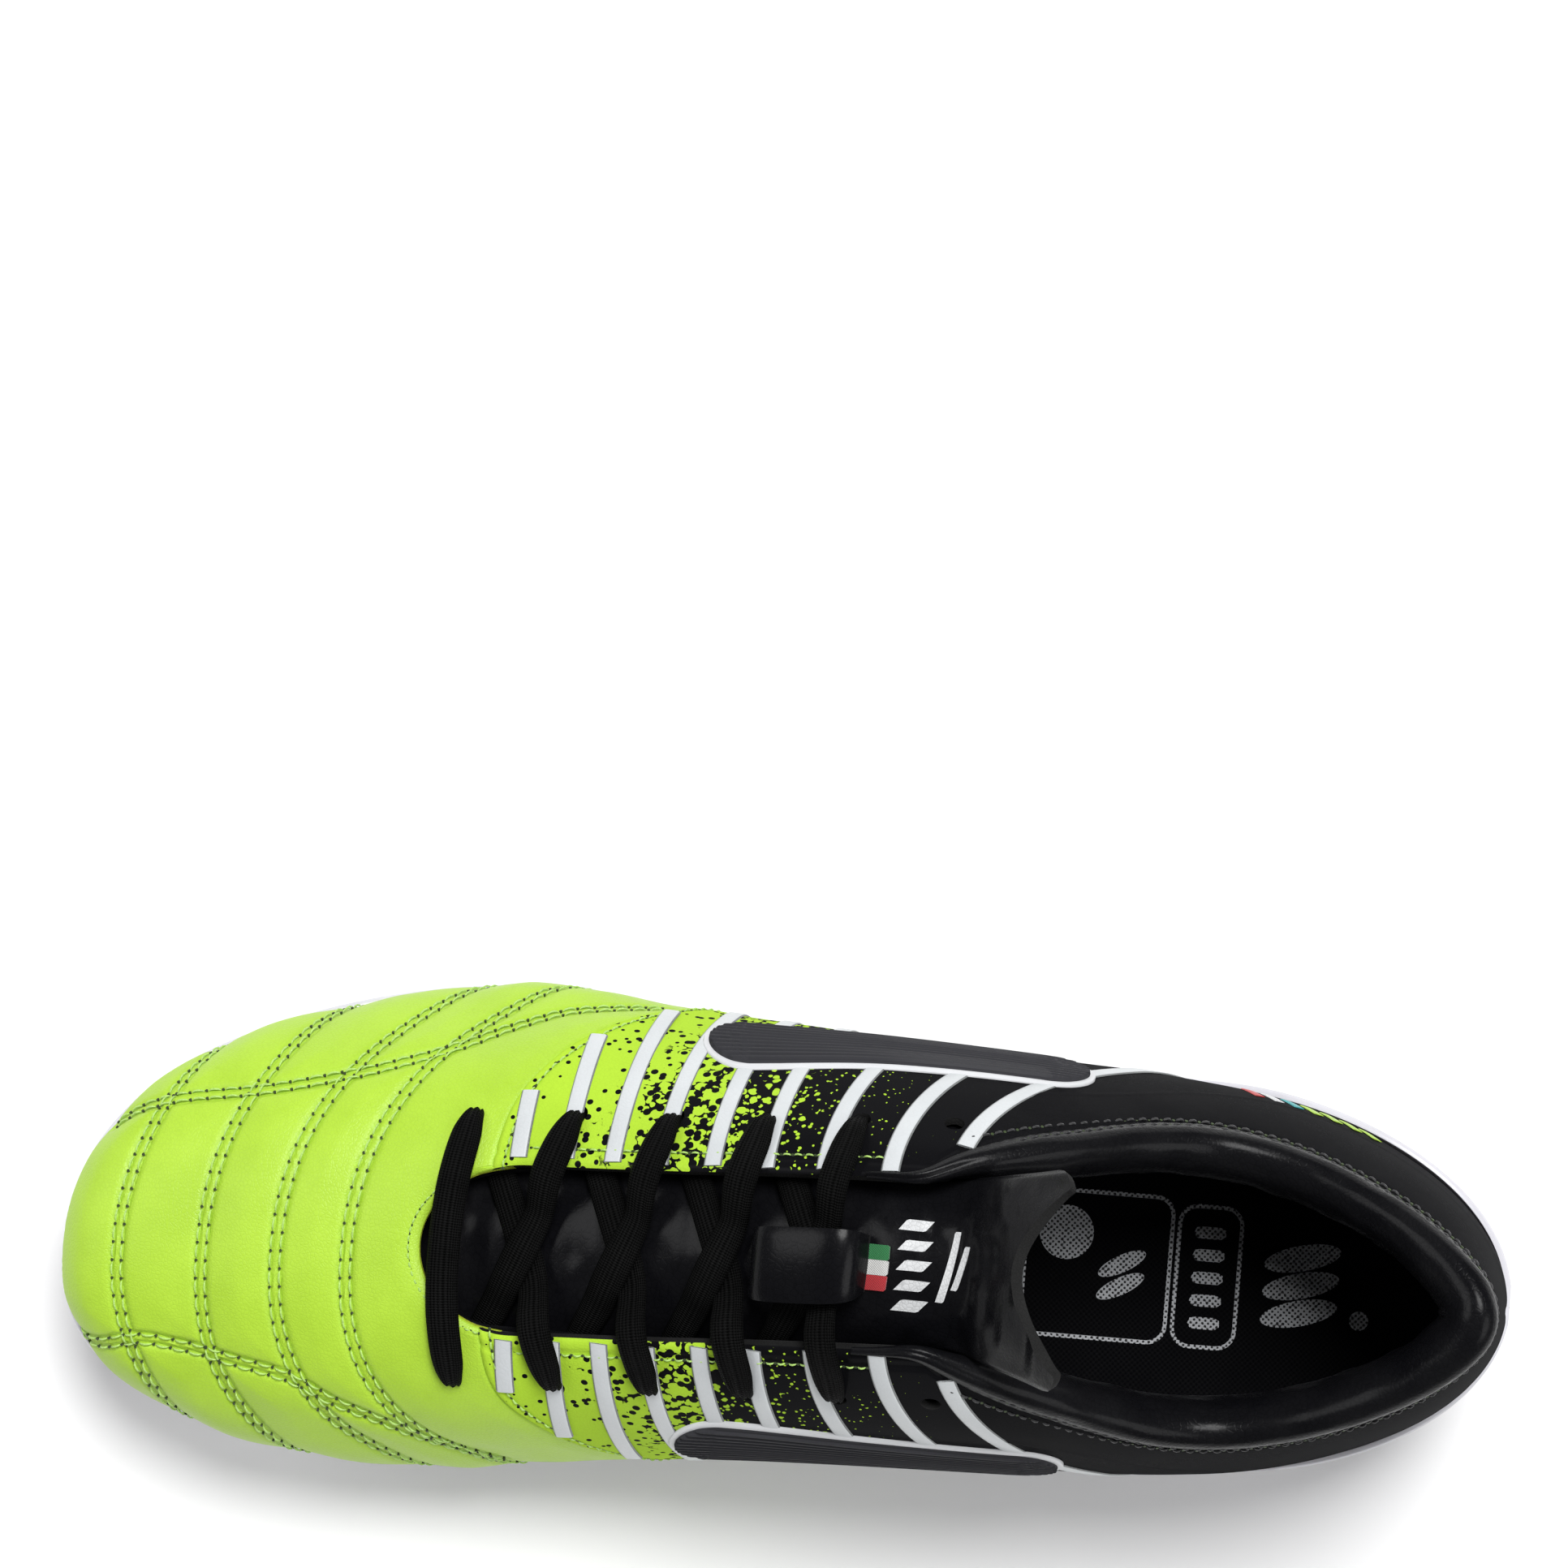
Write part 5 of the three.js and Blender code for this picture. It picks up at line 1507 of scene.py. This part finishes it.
def rounded_normals(path):
    """The outward plan normals of a closed outline."""
    along = np.roll(path, -2, axis=0) - np.roll(path, 2, axis=0)
    normal = unit(np.stack([along[:, 1], -along[:, 0], np.zeros(len(path))], -1))
    centre = path.mean(axis=0)
    if ((path - centre) * normal).sum() < 0:
        normal = -normal
    return normal


STUD_TIP_RADIUS = 5.0
STUD_TAPER = 0.17
STUD_SIDES = 44


def build_stud(node):
    """A moulded stud with a flared foot, a tapered shank with a step, and a rounded tip."""
    low, high = (np.array(corner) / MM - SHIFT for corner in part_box(node))
    x, y = (low[:2] + high[:2]) / 2
    base = bite_at(x) - PLATE_THICKNESS + 0.7
    height = base - low[2]
    foot = STUD_TIP_RADIUS + STUD_TAPER * height
    profile = [
        (foot + 3.4, 0.0),
        (foot + 2.2, 0.55),
        (foot + 1.1, 1.3),
        (foot + 0.45, 2.4),
        (foot - STUD_TAPER * 3.6, 3.6),
        (foot - STUD_TAPER * 3.9 - 0.35, 4.1),
        (STUD_TIP_RADIUS + 0.12 + STUD_TAPER * 1.2, height - 1.4),
        (STUD_TIP_RADIUS - 0.15, height - 0.5),
        (STUD_TIP_RADIUS - 0.75, height),
        (STUD_TIP_RADIUS - 2.0, height),
        (STUD_TIP_RADIUS - 2.3, height - 0.35),
        (0.6, height - 0.4),
    ]
    turn = np.arange(STUD_SIDES) * 2 * math.pi / STUD_SIDES
    circle = np.stack([np.cos(turn), np.sin(turn), np.zeros(STUD_SIDES)], -1)
    rings = [np.array([x, y, base - depth]) + radius * circle for radius, depth in profile]
    rings = np.stack(rings)
    faces = grid_faces(len(rings), STUD_SIDES, close_columns=True)[:, ::-1].tolist()
    faces.append(list(range(STUD_SIDES)))
    faces.append([(len(rings) - 1) * STUD_SIDES + k for k in range(STUD_SIDES)][::-1])
    points = rings.reshape(-1, 3)
    made = make(node + "_moulding", points, faces, points[:, :2], STUD_PLASTIC, sharp=32)
    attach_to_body(made, frame["nodes"][node]["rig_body"])
    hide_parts(node)


# ---- Tongue --------------------------------------------------------------------------------------

TONGUE_OUTER = -7.0
TONGUE_INNER = -10.2
TONGUE_TOP_LENGTH = 32.0
TONGUE_TOP_SLOPE = math.radians(57)
TONGUE_NOTCH_DEPTH = 15.5
TONGUE_LOBE_AT = 0.82
TONGUE_CORNER = 4.0
TONGUE_FLARE = 5.0
TONGUE_COLUMNS = 110
TONGUE_ROWS = 110
FOLD_EASE = 14.0  # the length over which the tongue turns up, about the fold


def tongue_point(s, v, offset):
    """A point of the tongue at station s and share v across, and the direction of its thickness.

    Behind the fold the tongue rises off the last.
    """
    s, v, offset = np.broadcast_arrays(s, v, float(offset))
    on_last = np.maximum(s, FOLD_X)
    y = throat_centre_at(on_last) + v * tongue_width_at(on_last)
    t = t_across(on_last, y)
    points = last_point(on_last, t)
    normals = last_normal(on_last, t)
    length = np.maximum(0, FOLD_X + FOLD_EASE / 2 - s)
    sample = np.linspace(0, 60, 240)
    turn = TONGUE_TOP_SLOPE * smooth(0, FOLD_EASE, sample)
    step = sample[1]
    back = np.interp(length, sample, np.cumsum(np.cos(turn)) * step) - step
    lift = np.interp(length, sample, np.cumsum(np.sin(turn)) * step)
    slope = np.interp(length, sample, turn)
    ease = slope / TONGUE_TOP_SLOPE
    on_last_back = np.minimum(length, FOLD_EASE / 2)
    spread = v * TONGUE_FLARE * length / TONGUE_TOP_LENGTH
    rise = np.stack([on_last_back - back, spread, lift], -1)
    lean = normals * (1 - ease)[..., None]
    tilt = np.stack([np.sin(slope), np.zeros_like(s), np.cos(slope)], -1)
    side_turn = np.stack([np.zeros_like(s), normals[..., 1], np.zeros_like(s)], -1)
    direction = unit(lean + (tilt + 0.8 * side_turn) * ease[..., None])
    thin = 1 - 0.45 * smooth(4, TONGUE_TOP_LENGTH, length)
    middle = (TONGUE_OUTER + TONGUE_INNER) / 2
    centre = points + normals * middle + rise
    return centre + direction * ((offset - middle) * thin)[..., None], direction


def tongue_end(v):
    """How far behind the fold the tongue reaches: two lobes with a dip between them."""
    share = np.minimum(abs(v), TONGUE_LOBE_AT) / TONGUE_LOBE_AT
    dip = TONGUE_NOTCH_DEPTH * np.cos(share * math.pi / 2) ** 0.75
    corner = TONGUE_CORNER * (1 - super_round((abs(v) - TONGUE_LOBE_AT) / (1 - TONGUE_LOBE_AT), 2))
    return TONGUE_TOP_LENGTH - dip - corner


def tongue_relief(s, v):
    """Soft creases across the tongue and a padded swell."""
    y = v * 24
    crease = 0.45 * noise(s, y * 0.35, 6.5, 31) + 0.22 * noise(s, y * 0.6, 3.1, 32)
    edge = smooth(0, 0.16, 1 - abs(v))
    return crease * edge + 0.5 * smooth(0, 0.5, 1 - abs(v)) - 0.8 * (1 - smooth(0, 0.06, 1 - abs(v)))


def tongue_sheet(name, front, rear):
    """One piece of the tongue, between two rows of stations."""
    v = np.linspace(-1, 1, TONGUE_COLUMNS)
    u = np.linspace(0, 1, TONGUE_ROWS)[:, None]
    s = front + (rear - front) * u + 0 * v[None]
    vv = np.broadcast_to(v, s.shape)
    outer, direction = tongue_point(s, vv, TONGUE_OUTER)
    inner, _ = tongue_point(s, vv, TONGUE_INNER)
    outer = outer + direction * tongue_relief(s, vv)[..., None]
    inner = inner - direction * (0.25 * noise(s, vv * 20, 8, 33))[..., None]
    uv = np.stack([s, vv * 24], -1)
    return shell(name, outer, inner, uv, [TONGUE_LEATHER, LINING_CLOTH, DARK_EDGE])


def build_tongue():
    """The tongue's laced part and its free end."""
    front = tongue_sheet("tongue_front", TONGUE_FRONT, TONGUE_SPLIT - 0.4)
    bends(front, "tongue_leather", "tongue_base")
    free_end = FOLD_X - tongue_end(np.linspace(-1, 1, TONGUE_COLUMNS))
    back = tongue_sheet("tongue_back", TONGUE_SPLIT + 0.4, free_end)
    folds(back, "tongue_leather", "tongue_top")


def tongue_strip(s, v, lift):
    """Points and outward directions just over the tongue's surface."""
    points, direction = tongue_point(s, v, TONGUE_OUTER)
    return points + direction * (tongue_relief(s, v) + lift)[..., None], direction


PATCH_RINGS = 5


def tongue_patch(name, outline, lift, height, material, attach, slot):
    """A raised patch on the tongue from an outline of (station, millimetres across) points."""
    centre = outline.mean(axis=0)
    count = len(outline)
    flat = np.concatenate([centre + (outline - centre) * k for k in np.linspace(1, 0.12, PATCH_RINGS)])
    s, y = flat.T
    on_last = np.maximum(s, FOLD_X)
    v = (y - throat_centre_at(on_last)) / tongue_width_at(on_last)
    top, _ = tongue_strip(s, v, lift + height)
    bottom, _ = tongue_strip(s, v, lift - 0.25)
    total = len(flat)
    surface = grid_faces(PATCH_RINGS, count, close_columns=True).tolist()
    surface.append(list(range(total - count, total)))
    under = [[k + total for k in face[::-1]] for face in surface]
    rim = [[(k + 1) % count, k, k + total, (k + 1) % count + total] for k in range(count)]
    points = np.concatenate([top, bottom])
    made = make(name, points, surface + under + rim, np.concatenate([flat, flat]), material)
    face_out(made)
    attach(made, slot)
    return made


def face_out(piece):
    """Turns all faces of a closed mesh outwards."""
    mesh = bmesh.new()
    mesh.from_mesh(piece.data)
    bmesh.ops.recalc_face_normals(mesh, faces=mesh.faces)
    mesh.to_mesh(piece.data)
    mesh.free()


KEEPER_FRONT = 151.5
KEEPER_REAR = 131.0
KEEPER_HALF_WIDTH = 6.8
KEEPER_HEIGHT = 7.4


def build_keeper_and_tag():
    """The lace keeper and the three-coloured cloth tag."""
    u = np.linspace(0, 1, 60)
    lift = KEEPER_HEIGHT * super_round(abs(2 * u - 1), 3.2)
    s = KEEPER_REAR + u * (KEEPER_FRONT - KEEPER_REAR)
    s, v = np.meshgrid(s, np.linspace(-1, 1, 15), indexing="ij")
    share = v * KEEPER_HALF_WIDTH / tongue_width_at(s) + 0.02
    base, direction = tongue_point(s, share, TONGUE_OUTER)
    edge = 0.22 * smooth(0.8, 1.0, abs(v))
    outer = base + direction * (lift[:, None] + 1.25 - edge)[..., None]
    inner = base + direction * (lift[:, None] + 0.35)[..., None]
    uv = np.stack([s, v * KEEPER_HALF_WIDTH], -1)
    made = shell("tongue_keeper_strap", outer, inner, uv, [TONGUE_LEATHER, DARK_EDGE], flip=True)
    face_out(made)
    stays(made, "tongue_leather", "tongue_keeper")
    for number, (colour, bright, shade) in enumerate(TAG_COLOURS):
        cloth = weave(f"{colour} tag cloth", bright, shade, 0.45, by_surface=False)
        box = rounded_box((129.3, number * 3.7 - 2.9), (5.0, 3.64), 0.25, pitch=0.6)
        piece = tongue_patch(f"tongue_tag_{colour}", box, 0.15, 0.35, cloth, stays, "tag_textile")
        if number == 0:
            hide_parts("tongue_tag")


# The tongue's marks, plain slanted bars in place of lettering, as (x, y, length, width, slant).
TONGUE_MARKS = [(121.6, -10.2 + number * 4.9, 2.6, 5.4, 0.9) for number in range(5)]
TONGUE_MARKS += [(114.2, -0.8, 17.0, 1.7, 1.6), (111.2, -0.8, 10.5, 1.7, 1.6)]


def build_tongue_marks():
    """The marks across the tongue's free end."""
    for number, (x, y, length, width, slant) in enumerate(TONGUE_MARKS):
        corners = np.array([(-1, -1), (1, -1), (1, 1), (-1, 1), (-1, -1)]) * (width / 2, length / 2)
        corners[:, 0] += slant * corners[:, 1] / (length / 2)
        bar = np.array([x, y]) + resample(corners, 0.7)[:-1]
        tongue_patch(f"tongue_mark_{number + 1}", bar, 0.05, 0.22, PALE_INK, folds, "tongue_leather")


# ---- Lace ----------------------------------------------------------------------------------------

LACE_HALF_WIDTH = 3.3
LACE_HALF_THICKNESS = 0.85
LACE_OVER = 1.55
LACE_UNDER = -5.4


def lace_strand(name, from_x, from_side, to_x, levels, twist=0.0, bow=0.0):
    """A flat strand over the throat. levels is a list of (share of the way across, offset, width share)."""
    stations = np.array(levels, float)
    share = np.linspace(stations[0, 0], stations[-1, 0], 90)
    offset = through(stations[:, :2])(share)
    width = through(stations[:, [0, 2]])(share)
    s = from_x + share * (to_x - from_x) + bow * np.sin(share * math.pi)
    start_y = throat_centre_at(from_x) + from_side * EYELET_SPREAD
    end_y = throat_centre_at(to_x) - from_side * EYELET_SPREAD
    y = start_y + share * (end_y - start_y)
    t = t_across(s, y)
    normals = last_normal(s, t)
    path = last_point(s, t) + normals * offset[:, None]
    for k in range(3):
        path[1:-1, k] = np.convolve(path[:, k], [0.25, 0.5, 0.25], mode="valid")
    along = tangents(path)
    across = unit(np.cross(normals, along))
    thick = np.cross(along, across)
    turn = (twist * np.sin(share * math.pi * 2))[:, None]
    turned = across * np.cos(turn) + thick * np.sin(turn)
    upright = np.cross(along, turned)
    fat = LACE_HALF_THICKNESS * (1 + 0.7 * (1 - width))
    wide = turned * (LACE_HALF_WIDTH * width)[:, None]
    return tube(name, path, wide, upright * fat[:, None], LACE_CLOTH, section=LACE_SECTION, uv_scale=14.0)


def lace_section():
    """The strand's flat round section with slight ribs along it."""
    angle = np.arange(20) * 2 * math.pi / 20
    x, y = np.cos(angle), np.sin(angle)
    x = np.sign(x) * abs(x) ** 0.75
    return np.stack([x, np.sign(y) * abs(y) ** 0.8 * (1 + 0.22 * np.cos(x * 9))], -1)


LACE_SECTION = lace_section()
# A strand's stretches, as (share of the way across, offset, width share): up from under an eyelet, and
# down into one.
FROM_EYELET = [(-0.01, -2.6, 0.42), (0.03, -4.4, 0.6), (0.1, LACE_UNDER, 0.8)]
INTO_EYELET = [(0.90, LACE_OVER + 0.1, 0.94), (0.96, 1.35, 0.7), (0.99, 0.1, 0.5), (1.005, -2.4, 0.4)]
LOWER_LEVELS = [
    *FROM_EYELET, (0.3, LACE_UNDER, 0.95), (0.5, LACE_UNDER + 0.15, 1.0), (0.62, -4.6, 0.95),
    (0.68, -2.7, 0.95), (0.735, 0.2, 1.0), (0.79, LACE_OVER + 0.1, 1.0), *INTO_EYELET,
]
UPPER_LEVELS = [
    *FROM_EYELET, (0.27, LACE_UNDER, 0.95), (0.38, -3.7, 1.0), (0.5, -3.3, 1.0), (0.64, -3.4, 0.9),
    (0.7, -1.2, 0.95), (0.76, 0.9, 1.0), (0.82, LACE_OVER + 0.1, 1.0), *INTO_EYELET,
]
HALF_BAR = [(0.63, 0.9, 1.0), (0.76, LACE_OVER, 1.0), *INTO_EYELET]
BAR_LEVELS = [*((1 - share, *rest) for share, *rest in HALF_BAR[::-1]), (0.5, 0.5, 1.0), *HALF_BAR]
# The loose ends inside, as (stations ahead of the last laced eyelet, t beyond it, offset).
TUCK = np.array([
    (0, 0, -2.4), (0, 0.005, LACE_UNDER), (-3, 0.06, LACE_UNDER), (-5, 0.12, -6), (-5.5, 0.19, -6.6),
    (-4.5, 0.26, -6.6), (-1, 0.33, -6.6), (5, 0.385, -6.6), (13, 0.42, -6.6), (22, 0.44, -6.6),
    (33, 0.45, -6.6), (44, 0.455, -6.6),
])


def lace_tail(name, side):
    """A loose end, from its eyelet down into the shoe."""
    last_x = EYELET_ROWS[LACED_ROWS - 1]
    place = np.arange(len(TUCK))
    dense = np.linspace(0, place[-1], 110)
    ds, dt, offset = (through(np.column_stack([place, column]))(dense) for column in TUCK.T)
    path, normals = surface_row(last_x + ds, eyelet_t(last_x, side) + side * dt, offset)
    along = tangents(path)
    across = unit(np.cross(normals, along))
    width = np.interp(dense, [0, 1, 2.5, 9.5, 11], [0.4, 0.45, 0.66, 0.66, 0.4])
    wide = across * (LACE_HALF_WIDTH * width)[:, None]
    thick = np.cross(along, across) * LACE_HALF_THICKNESS
    return tube(name, path, wide, thick, LACE_CLOTH, sides=16, uv_scale=14.0)


def build_lace():
    """The bar over the front eyelets, the crossing strands and the loose ends."""
    rows = EYELET_ROWS[:LACED_ROWS]
    bends(lace_strand("lace_bar", rows[0], -1, rows[0], BAR_LEVELS, bow=3.7), "lace_textile", "lace")
    for number in range(1, len(rows)):
        twist = 0.10 if number % 2 else -0.08
        ahead, behind = rows[number - 1], rows[number]
        bends(lace_strand(f"lace_medial_{number}", ahead, -1, behind, LOWER_LEVELS, twist), "lace_textile")
        bends(lace_strand(f"lace_lateral_{number}", ahead, 1, behind, UPPER_LEVELS, -twist), "lace_textile")
    for name, side in SIDES.items():
        stays(lace_tail(f"lace_tail_{name}", side), "lace_textile")


# ---- Badges and small prints ---------------------------------------------------------------------

BADGE_FRONT = 162.0
BADGE_REAR = 88.0
BADGE_MIDDLE = (BADGE_FRONT + BADGE_REAR) / 2
BADGE_HALF_HEIGHT = 9.0
BADGE_FRONT_Z = 54.0
BADGE_REAR_Z = 57.0
BADGE_RIB_PITCH = 1.5
BADGE_RIB_HEIGHT = 0.5
# The badge's layers, as (name, how far it grows past the face, height, material).
BADGE_LAYERS = (("rim", 1.1, 0.75, BADGE_OUTLINE), ("face", 0.0, 1.05, BADGE_RUBBER))


def badge_grid(grow, rows, columns):
    """A long pill on the side: s and z over its face."""
    u = np.linspace(-1, 1, columns)[None]
    v = np.linspace(-1, 1, rows)[:, None]
    half = (BADGE_FRONT - BADGE_REAR) / 2 + grow
    tall = BADGE_HALF_HEIGHT + grow
    s = BADGE_MIDDLE + half * np.sin(u * math.pi / 2) * 0.35 + half * u * 0.65
    reach = np.maximum(0, abs(s - BADGE_MIDDLE) - (half - tall))
    rise = np.sqrt(np.maximum(tall**2 - reach**2, 0.02))
    share = (s - BADGE_REAR) / (BADGE_FRONT - BADGE_REAR)
    middle = BADGE_REAR_Z + (BADGE_FRONT_Z - BADGE_REAR_Z) * share + 3.2 * np.sin(share * math.pi)
    return np.broadcast_to(s, (rows, columns)), middle + v * rise


def build_badge(name, side):
    """A rubber pill on the side: a plain rim, and a face with fine ribs along it."""
    for kind, grow, height, material in BADGE_LAYERS:
        s, z = badge_grid(grow, 72, 190)
        t = t_at_height(s, z, side)
        base = last_point(s, t)
        normals = last_normal(s, t)
        to_rim = np.minimum(*(np.linalg.norm(base - row, axis=-1) for row in (base[:1], base[-1:])))
        lift = height - 0.5 * np.exp(-to_rim / 0.35)
        if kind == "face":
            wave = 0.5 + 0.5 * np.cos((z - z.mean(axis=0)) * 2 * math.pi / BADGE_RIB_PITCH)
            lift += BADGE_RIB_HEIGHT * smooth(0.3, 0.7, wave) * smooth(0.2, 0.6, to_rim)
        outer = base + normals * lift[..., None]
        inner = base + normals * -0.2
        made = shell(f"badge_{name}_{kind}", outer, inner, arc_uv(s, base), [material, material])
        face_out(made)
        replaced = [f"side_badge_{name}"] if kind == "face" else []
        stays(made, "badge_rubber", *replaced)


def build_heel_prints():
    """Plain slanted colour bars low on the outside of the heel."""
    colours = (RED_INK, PALE_INK, TEAL_INK) + (NEON_INK,) * 4
    for number, material in enumerate(colours):
        s = np.array([56, 55.2, 54.4, 53.6]) - number * 3.9
        t = t_at_height(s, np.array([38.5, 40.4, 42.3, 44.2]) + 0.25 * number, -1.0)
        dense = np.linspace(0, 3, 24)
        s, t = np.interp(dense, range(4), s), np.interp(dense, range(4), t)
        stays(strip_on(f"heel_print_{number + 1}", s, t, 2.2, 0.12, 0.12, material), "black_leather")


# ---- Carried-over CAD nodes ----------------------------------------------------------------------


def finish_cad_nodes():
    """The hidden stiffeners and the lace tips keep their CAD shapes."""
    materials = {"heel_counter": BOARD, "toe_puff": BOARD, "aglet_lateral": AGLET, "aglet_medial": AGLET}
    for node, material in materials.items():
        mesh = frame["nodes"][node].data
        mesh.materials.clear()
        mesh.materials.append(material)


# ---- Camera, light and floor ---------------------------------------------------------------------

CAMERA_PLACE = (151.7, -50.4, 1000.0)
CAMERA_LEAN = -0.0412  # how far the view tips towards -Y for each millimetre down
CAMERA_ROLL = 0.0853
CAMERA_LENS = 111.93


def build_camera():
    """The camera high over the shoe, with a slight lean and roll."""
    forward = Vector((0, CAMERA_LEAN, -1)).normalized()
    right = Vector((-1, 0, 0))
    up = right.cross(forward)
    turned_right = right * math.cos(CAMERA_ROLL) + up * math.sin(CAMERA_ROLL)
    turned_up = up * math.cos(CAMERA_ROLL) - right * math.sin(CAMERA_ROLL)
    camera = bpy.data.objects.new("camera", bpy.data.cameras.new("camera"))
    camera.data.lens = CAMERA_LENS
    camera.data.sensor_width = 36
    camera.data.clip_start = 0.05
    matrix = Matrix((turned_right, turned_up, -forward)).transposed().to_4x4()
    matrix.translation = Vector(world(CAMERA_PLACE))
    camera.matrix_world = matrix
    bpy.context.scene.collection.objects.link(camera)
    bpy.context.scene.camera = camera


def sun(name, towards, strength, width):
    """A distant soft light that shines along towards. width is the angle that it fills, in degrees."""
    light = bpy.data.objects.new(name, bpy.data.lights.new(name, "SUN"))
    light.data.energy = strength
    light.data.angle = math.radians(width)
    light.rotation_euler = Vector(towards).to_track_quat("-Z", "Y").to_euler()
    bpy.context.scene.collection.objects.link(light)


FLOOR_REACH = 80.0  # metres, so that its edge is far out of view


def floor_paper():
    """Matt white paper with a faint tooth."""
    n = Nodes("floor paper")
    n.surface(Base_Color=(0.9, 0.9, 0.9), Roughness=0.9, Specular_IOR_Level=0.2)
    n.surface(Normal=n.bump(n.noise(n.place(), 1.5, 3), 0.02))
    return n.material


def build_studio():
    """White surroundings, three suns and the floor."""
    scene = bpy.context.scene
    scene.view_settings.view_transform = "Standard"
    sky = bpy.data.worlds.new("studio")
    sky.use_nodes = True
    background = sky.node_tree.nodes["Background"]
    background.inputs["Color"].default_value = (1, 1, 1, 1)
    background.inputs["Strength"].default_value = 0.15
    scene.world = sky
    sun("key", (0.12, 0.5, -1.0), 3.1, 26)
    sun("fill", (0.8, -0.35, -0.8), 1.05, 40)
    sun("toe_light", (-0.9, 0.2, -0.7), 0.7, 30)
    corners = [(x * FLOOR_REACH, y * FLOOR_REACH, 0) for x, y in ((-1, -1), (1, -1), (1, 1), (-1, 1))]
    mesh = bpy.data.meshes.new("floor")
    mesh.from_pydata(corners, [], [(0, 1, 2, 3)])
    mesh.materials.append(floor_paper())
    floor = bpy.data.objects.new("floor", mesh)
    scene.collection.objects.link(floor)


# ---- The shoe ------------------------------------------------------------------------------------

build_camera()
build_studio()
build_vamp()
for side_name, side_sign in SIDES.items():
    build_quarter(f"quarter_{side_name}", side_sign)
    build_stripes(side_name)
    build_badge(side_name, side_sign)
build_heel_panel()
build_collar()
build_lining()
build_insole()
build_insole_print()
build_eyestays()
build_sole()
for stud_node in sorted(name for name in frame["nodes"] if name.startswith("stud_")):
    build_stud(stud_node)
build_tongue()
build_keeper_and_tag()
build_tongue_marks()
build_lace()
build_heel_prints()
finish_cad_nodes()
